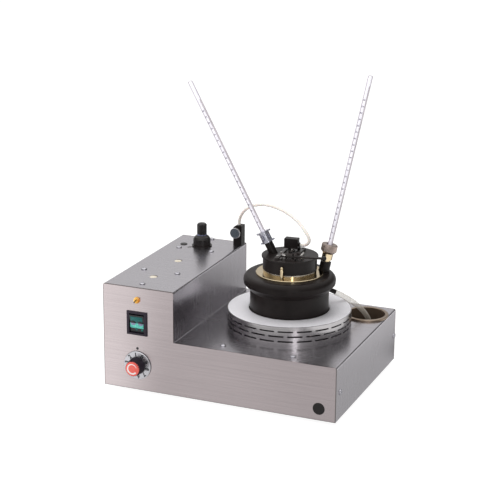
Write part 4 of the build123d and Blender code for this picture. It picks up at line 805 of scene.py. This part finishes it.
def set_dial_marks(finishes):
    """The numbers 0 to 9 round the dial, and the index dot above it on the panel."""
    numbers = bmesh.new()
    for index, text in enumerate("1098765432"):
        add(numbers, numeral(text, 5.6, 0.22), turn(7 - 36 * index, "Z") @ at(0, 15.3, 2.32))
    dial = KNOB
    set_piece("dial_numbers", numbers, dial, "heater_knob", finishes["ink_black"])
    dot = spun([(0, 0.14), (1.7, 0.14), (1.9, 0.0), (1.9, -0.2), (0, -0.2)], 32)
    place = PANEL @ at(0, 57.8, 0)
    set_piece("index_dot", dot, place, "tester_case", finishes["ink_black"])


def set_cap(finishes):
    """The knob's red cap, with its white open ring: thick at the left, thin at its upper end."""
    cap = spun([(0, 14.4), (9.8, 14.4), (9.8, 16.1), (9.6, 16.5), (9.1, 16.7), (0, 16.72)], 72)
    set_piece("red_cap", cap, KNOB, "heater_knob", finishes["cap_red"], ["knob_cap"])
    shape = bmesh.new()
    steps, middle = 44, 6.5
    start, end = radians(20), radians(322)
    rows = []
    for index in range(steps + 1):
        angle = start + (end - start) * index / steps
        half = 0.35 + 0.65 * min(1.0, index / steps * 1.9)
        reaches = [middle - half, middle + half]
        rows.append([shape.verts.new((r * cos(angle), r * sin(angle), 16.79)) for r in reaches])
    for first, second in zip(rows, rows[1:]):
        shape.faces.new((first[0], second[0], second[1], first[1]))
    grown = bmesh.ops.extrude_face_region(shape, geom=shape.faces[:])["geom"]
    back = [part for part in grown if isinstance(part, bmesh.types.BMVert)]
    bmesh.ops.translate(shape, verts=back, vec=(0, 0, -0.25))
    set_piece("cap_ring", shape, KNOB, "heater_knob", finishes["ink_white"])


def set_lens(finishes):
    """A faceted amber jewel in a thin rim, with a dark slot across it."""
    jewel = spun(
        [(0, 5.0), (1.7, 5.0), (3.3, 4.0), (4.1, 2.4), (4.3, 1.0), (4.5, 0.8), (4.6, 0), (0, 0)], 10,
    )
    set_piece(
        "amber_jewel", jewel, LENS @ turn(18, "Z"), "tester_case", finishes["lens_amber"],
        ["indicator_lens"], crease=8,
    )
    slot = plate([(-3.2, -0.55), (3.2, -0.55), (3.2, 0.55), (-3.2, 0.55)], 3.6, 5.4, 0.1)
    set_piece(
        "jewel_slot", slot, LENS @ turn(52, "Z"), "tester_case", finishes["black_plastic"],
    )


def half_round(radius, length, thick):
    """Half a disc, standing on its straight side."""
    outline = [(radius * cos(pi * i / 14), length * sin(pi * i / 14)) for i in range(15)]
    return plate(outline, 0, thick, thick * 0.3)


def set_rocker_lights(finishes):
    """The lit windows of the rocker: a dark one above, a bright band below, and their prisms."""
    slope = (1.2 - 0.4) / 12.1
    upper = ROCKER @ at(0, 0, 0.4) @ Matrix.Rotation(slope, 4, "X")
    lower = ROCKER @ at(0, 0, 0.4) @ Matrix.Rotation(-slope, 4, "X")
    slab = plate([(-8.9, 1.2), (8.6, 1.2), (8.6, 10.0), (-8.9, 10.0)], -0.2, 0.35, 0.15)
    set_piece("rocker_window", slab, upper, "power_rocker", finishes["teal_dark"])
    band = plate([(-9.9, -6.4), (9.4, -6.4), (9.4, 0.6), (-9.9, 0.6)], -0.2, 0.45, 0.15)
    set_piece("rocker_band", band, lower, "power_rocker", finishes["teal_bright"])
    spots = plate([(-2.2, -9.4), (0.4, -9.4), (0.4, -7.2), (-2.2, -7.2)], -0.2, 0.3, 0.1)
    add(spots, plate([(6.0, -10.2), (8.6, -10.2), (8.6, -7.2), (6.0, -7.2)], -0.2, 0.3, 0.1))
    set_piece("rocker_spots", spots, lower, "power_rocker", finishes["teal_dim"])
    bumps, prisms = bmesh.new(), bmesh.new()
    for x in (-5.3, 5.3):
        add(bumps, half_round(4.0, 3.2, 0.9), at(x, 0.8, -0.1))
        add(prisms, half_round(3.6, 3.2, 0.7), at(x, 0.7, 0) @ turn(180, "Z"))
    set_piece("rocker_bumps", bumps, upper, "power_rocker", finishes["rocker_teal"])
    set_piece("rocker_prisms", prisms, lower, "power_rocker", finishes["lilac"])


def set_badge(finishes):
    """The round black badge at the lower right of the front."""
    disc = spun([(0, 0.75), (4.0, 0.7), (6.8, 0.5), (7.3, 0.62), (7.8, 0.5), (8.0, 0), (0, 0)], 64)
    place = CASE @ at(302.7, 0, 15.6) @ turn(90, "X")
    set_piece("front_badge", disc, place, "tester_case", finishes["black_plastic"])


# ---- thermometers -------------------------------------------------------------------------------

def scale_marks(low, high, aim):
    """Graduations and numbers on the side of a stem that faces aim, in degrees round the stem."""
    whole = bmesh.new()
    pitch, ticks_to_number, stem = 8.6, 5, 3.2
    for index in range(int((high - low) / pitch * ticks_to_number) + 1):
        height = low + index * pitch / ticks_to_number
        reach = 30 if index % ticks_to_number else 44
        outline = [(stem - 0.1, 0), (stem + 0.04, 0), (stem + 0.04, 0.1), (stem - 0.1, 0.1), (stem - 0.1, 0)]
        add(whole, spun(outline, 3, reach), at(0, 0, height) @ turn(aim - 58, "Z"))
    for index in range(int((high - low) / pitch) + 1):
        number = numeral(str(10 * index), 2.0, 0.05)
        for vert in number.verts:
            angle, out = radians(aim) + (vert.co.x - 1.8) / stem, stem + 0.03 + vert.co.z
            vert.co = (out * cos(angle), out * sin(angle), low + index * pitch + vert.co.y)
        add(whole, number)
    return whole


def set_stem(name, place, body, node, low, high, finishes):
    """A glass stem, from the bulb at its foot to its rounded top."""
    profile = [
        (0, low), (1.3, low + 0.3), (2.2, low + 1.1), (2.6, low + 2.4), (2.6, low + 13.7),
        (3.2, low + 14.5), (3.2, high - 2.0), (3.0, high - 1.0), (2.3, high - 0.3), (0, high),
    ]
    set_piece(
        name, spun(profile, 40), place, body, finishes["thermometer_glass"],
        [node], crease=60,
    )


def set_thermometer(name, place, body, aim, low, high, thread_top, finishes):
    """The mercury thread, the enamel back and the graduations of a glass thermometer; the back is turned to
    the stem's side and greyed, as painted shade along that side.
    """
    marks = scale_marks(low, high, aim)
    set_piece(f"{name}_scale", marks, place, body, finishes["ink_grey"])
    thread = spun([(0, low - 30), (0.34, low - 30), (0.34, thread_top), (0, thread_top + 0.3)], 12)
    set_piece(f"{name}_thread", thread, place, body, finishes["mercury"])
    # the enamel back, turned to the stem's side and greyed: painted shade along the glass's side
    foot, top = low - 4, high + 16
    back = spun([(3.0, foot), (3.23, foot), (3.23, top), (3.0, top), (3.0, foot)], 20, 140)
    bmesh.ops.holes_fill(back, edges=[edge for edge in back.edges if edge.is_boundary], sides=6)
    set_piece(
        f"{name}_back", back, place @ turn(aim + 15, "Z"), body, finishes["enamel_side_shade"],
    )


# ---- clamp nut and spring -----------------------------------------------------------------------

def set_gland_nut(finishes):
    """The bath thermometer's clamp nut with a straight knurl."""
    low, high = 25.6, NUT_TOP
    nut = spun(
        [
            (3.3, low), (7.0, low), (10.3, low + 3.3), (10.6, low + 3.9), (10.6, high - 1.1),
            (9.8, high), (5.0, high), (4.8, high - 0.3), (4.8, high - 6.0), (3.3, high - 6.0),
            (3.3, low),
        ],
        112,
    )
    sides = [v for v in nut.verts if (v.co.x ** 2 + v.co.y ** 2) ** 0.5 > 10.4]
    for vert in sides:
        step = round(112 * (Vector(vert.co.xy).angle_signed(Vector((1, 0))) % (2 * pi)) / (2 * pi))
        if step % 2:
            vert.co.xy *= 0.965
    set_piece(
        "clamp_nut", nut, GLAND, "tester_case", finishes["nickel_warm"],
        ["gland_nut"], crease=20,
    )


def set_spring(finishes):
    """The close-coiled return spring between the lever and its anchor post."""
    shape = bmesh.new()
    wire = bmesh.ops.create_circle(shape, segments=6, radius=0.24)["verts"]
    bmesh.ops.rotate(shape, verts=wire, cent=(0, 0, 0), matrix=Matrix.Rotation(pi / 2, 3, "X"))
    bmesh.ops.translate(shape, verts=wire, vec=(1.15, 0, 0))
    turns, around = 22, 14
    coil_length = 12.6
    edges = list({edge for vert in wire for edge in vert.link_edges})
    bmesh.ops.spin(
        shape, geom=wire + edges, cent=(0, 0, 0), axis=(0, 0, 1), angle=2 * pi * turns,
        steps=turns * around, dvec=(0, 0, coil_length / (turns * around)),
    )
    bmesh.ops.holes_fill(shape, edges=shape.edges[:])
    for height in (-0.35, coil_length + 0.35):
        loop = spun([(0.75, 0), (0.97, 0.24), (1.19, 0), (0.97, -0.24), (0.75, 0)], 20)
        add(shape, loop, at(0, 0, height) @ turn(90, "X"))
    place = LID @ at(19.5, -19.1, 5.0) @ turn(-90, "X")
    set_piece(
        "spring_coil", shape, place, "lid_body", finishes["bright_steel"],
        ["return_spring"],
    )


# ---- stage --------------------------------------------------------------------------------------

def set_floor():
    """A pale floor: it takes the object's shadow and shows white to the camera; in metal it glows in bright
    and dull patches, painted reflection set for the main camera.
    """
    sheet = bmesh.new()
    bmesh.ops.create_grid(sheet, x_segments=1, y_segments=1, size=9)
    bmesh.ops.translate(sheet, verts=sheet.verts, vec=(0, 0, -0.0003))
    mesh = bpy.data.meshes.new("floor")
    sheet.to_mesh(mesh)
    sheet.free()
    finish = Finish("pale_floor", (0.8, 0.8, 0.8, 1), 0.9)
    camera, glossy, through = [finish.ray(kind) for kind in ("Camera", "Glossy", "Transmission")]
    x, y = [finish.node("ShaderNodeSeparateXYZ", {}, [finish.place()], i) for i in (0, 1)]
    # where on the front panel the main camera sees this spot of the floor
    along = x - (y.math("MINIMUM", y, -0.126) + 0.126) * 0.46
    before_case = 1.0 - y.within(-0.16, -0.1)
    bright_left = (1.0 - along.within(-0.165, -0.07)) * 0.52
    dull_right = along.within(0.02, 0.14) * (0.2 - before_case * 0.12)
    behind_case = x.within(-0.02, 0.08) * (1.0 - x.within(0.16, 0.2)) * y.within(0.12, 0.2)
    bright_right = x.within(0.26, 0.4) * 0.6 + x.within(0.2, 0.22) * y.within(0.05, 0.25) * 0.14
    # the floor's glow in metal, brighter and duller by place: painted reflection
    reflection_glow = 0.7 + bright_left + bright_right - dull_right - behind_case * (0.5 - y.within(0.3, 0.52) * 0.45)
    strength = camera * 1.4 + through + glossy * reflection_glow
    glow = finish.node("ShaderNodeEmission", {}, [(1, 1, 1, 1), strength])
    share = camera * 0.64 + through + glossy * 0.95
    surface = Wire(finish, finish.shader.outputs[0])
    mix = finish.node("ShaderNodeMixShader", {}, [share, surface, glow])
    finish.tree.links.new(mix.socket, finish.tree.nodes["Material Output"].inputs["Surface"])
    mesh.materials.append(finish.material)
    floor = bpy.data.objects.new("floor", mesh)
    scene.collection.objects.link(floor)


def set_world():
    """White to the camera and through glass; for reflections, a plain room with a darker back."""
    world = bpy.data.worlds.new("studio")
    world.use_nodes = True
    scene.world = world
    room = Nodes(world.node_tree)
    camera, glossy, through = [room.ray(kind) for kind in ("Camera", "Glossy", "Transmission")]
    direction = room.node("ShaderNodeTexCoord", {}, {}, "Generated")
    x, y, z = [room.node("ShaderNodeSeparateXYZ", {}, [direction], i) for i in range(3)]
    right = x.within(-0.42, 0.35)
    back = y.within(-0.5, 0.6)
    front = 1.0 - y.within(-0.8, -0.2)
    walls = 0.1 + back * (1.0 - right) * 0.52 + front * 0.3 + z.within(0.3, 0.9) * 1.1
    plain = (1.0 - camera) * (1.0 - glossy) * (1.0 - through)
    strength = camera + through + glossy * walls + plain * 0.56
    room.feed(room.tree.nodes["Background"].inputs["Color"], (1, 1, 1, 1))
    room.feed(room.tree.nodes["Background"].inputs["Strength"], strength)


def softbox(name, place, target, size, watts, glossy=True):
    lamp = bpy.data.lights.new(name, "AREA")
    lamp.shape = "RECTANGLE"
    lamp.size, lamp.size_y = size
    lamp.energy = watts
    holder = bpy.data.objects.new(name, lamp)
    holder.location = place
    holder.rotation_euler = (Vector(target) - Vector(place)).to_track_quat("-Z", "Y").to_euler()
    holder.visible_glossy = glossy
    scene.collection.objects.link(holder)


def set_lights():
    softbox("overhead", (-0.3, 0.1, 1.5), (0, 0, 0.1), (1.4, 1.0), 12, glossy=False)
    softbox("left_front", (-1.3, -1.3, 1.1), (0, 0, 0.1), (0.9, 1.2), 12.5, glossy=False)
    softbox("by_camera", (1.05, -1.62, 0.68), (0.05, 0, 0.1), (0.2, 0.6), 1.8)


set_camera()
finishes = make_finishes()
set_soft_tubes(finishes["tube_cream"], finishes["tube_clear"])
dress_nodes(finishes)
set_case_screws(finishes)
set_plugs(finishes)
set_dial_marks(finishes)
set_cap(finishes)
set_lens(finishes)
set_rocker_lights(finishes)
set_badge(finishes)
set_thermometer(
    "bath_thermo", GLAND, "bath_thermometer_body", -98, NUT_TOP + 8, NUT_TOP + 200, NUT_TOP + 96, finishes,
)
set_thermometer(
    "cup_thermo", SOCKET, "cup_thermometer_body", -72, FERRULE_TOP + 6, FERRULE_TOP + 178,
    FERRULE_TOP + 58, finishes,
)
set_stem(
    "bath_thermo_stem", GLAND, "bath_thermometer_body", "bath_thermometer", NUT_TOP - 59,
    NUT_TOP + 229.5, finishes,
)
set_stem(
    "cup_thermo_stem", SOCKET, "cup_thermometer_body", "cup_thermometer", -44, FERRULE_TOP + 221,
    finishes,
)
set_gland_nut(finishes)
set_spring(finishes)
set_floor()
set_world()
set_lights()
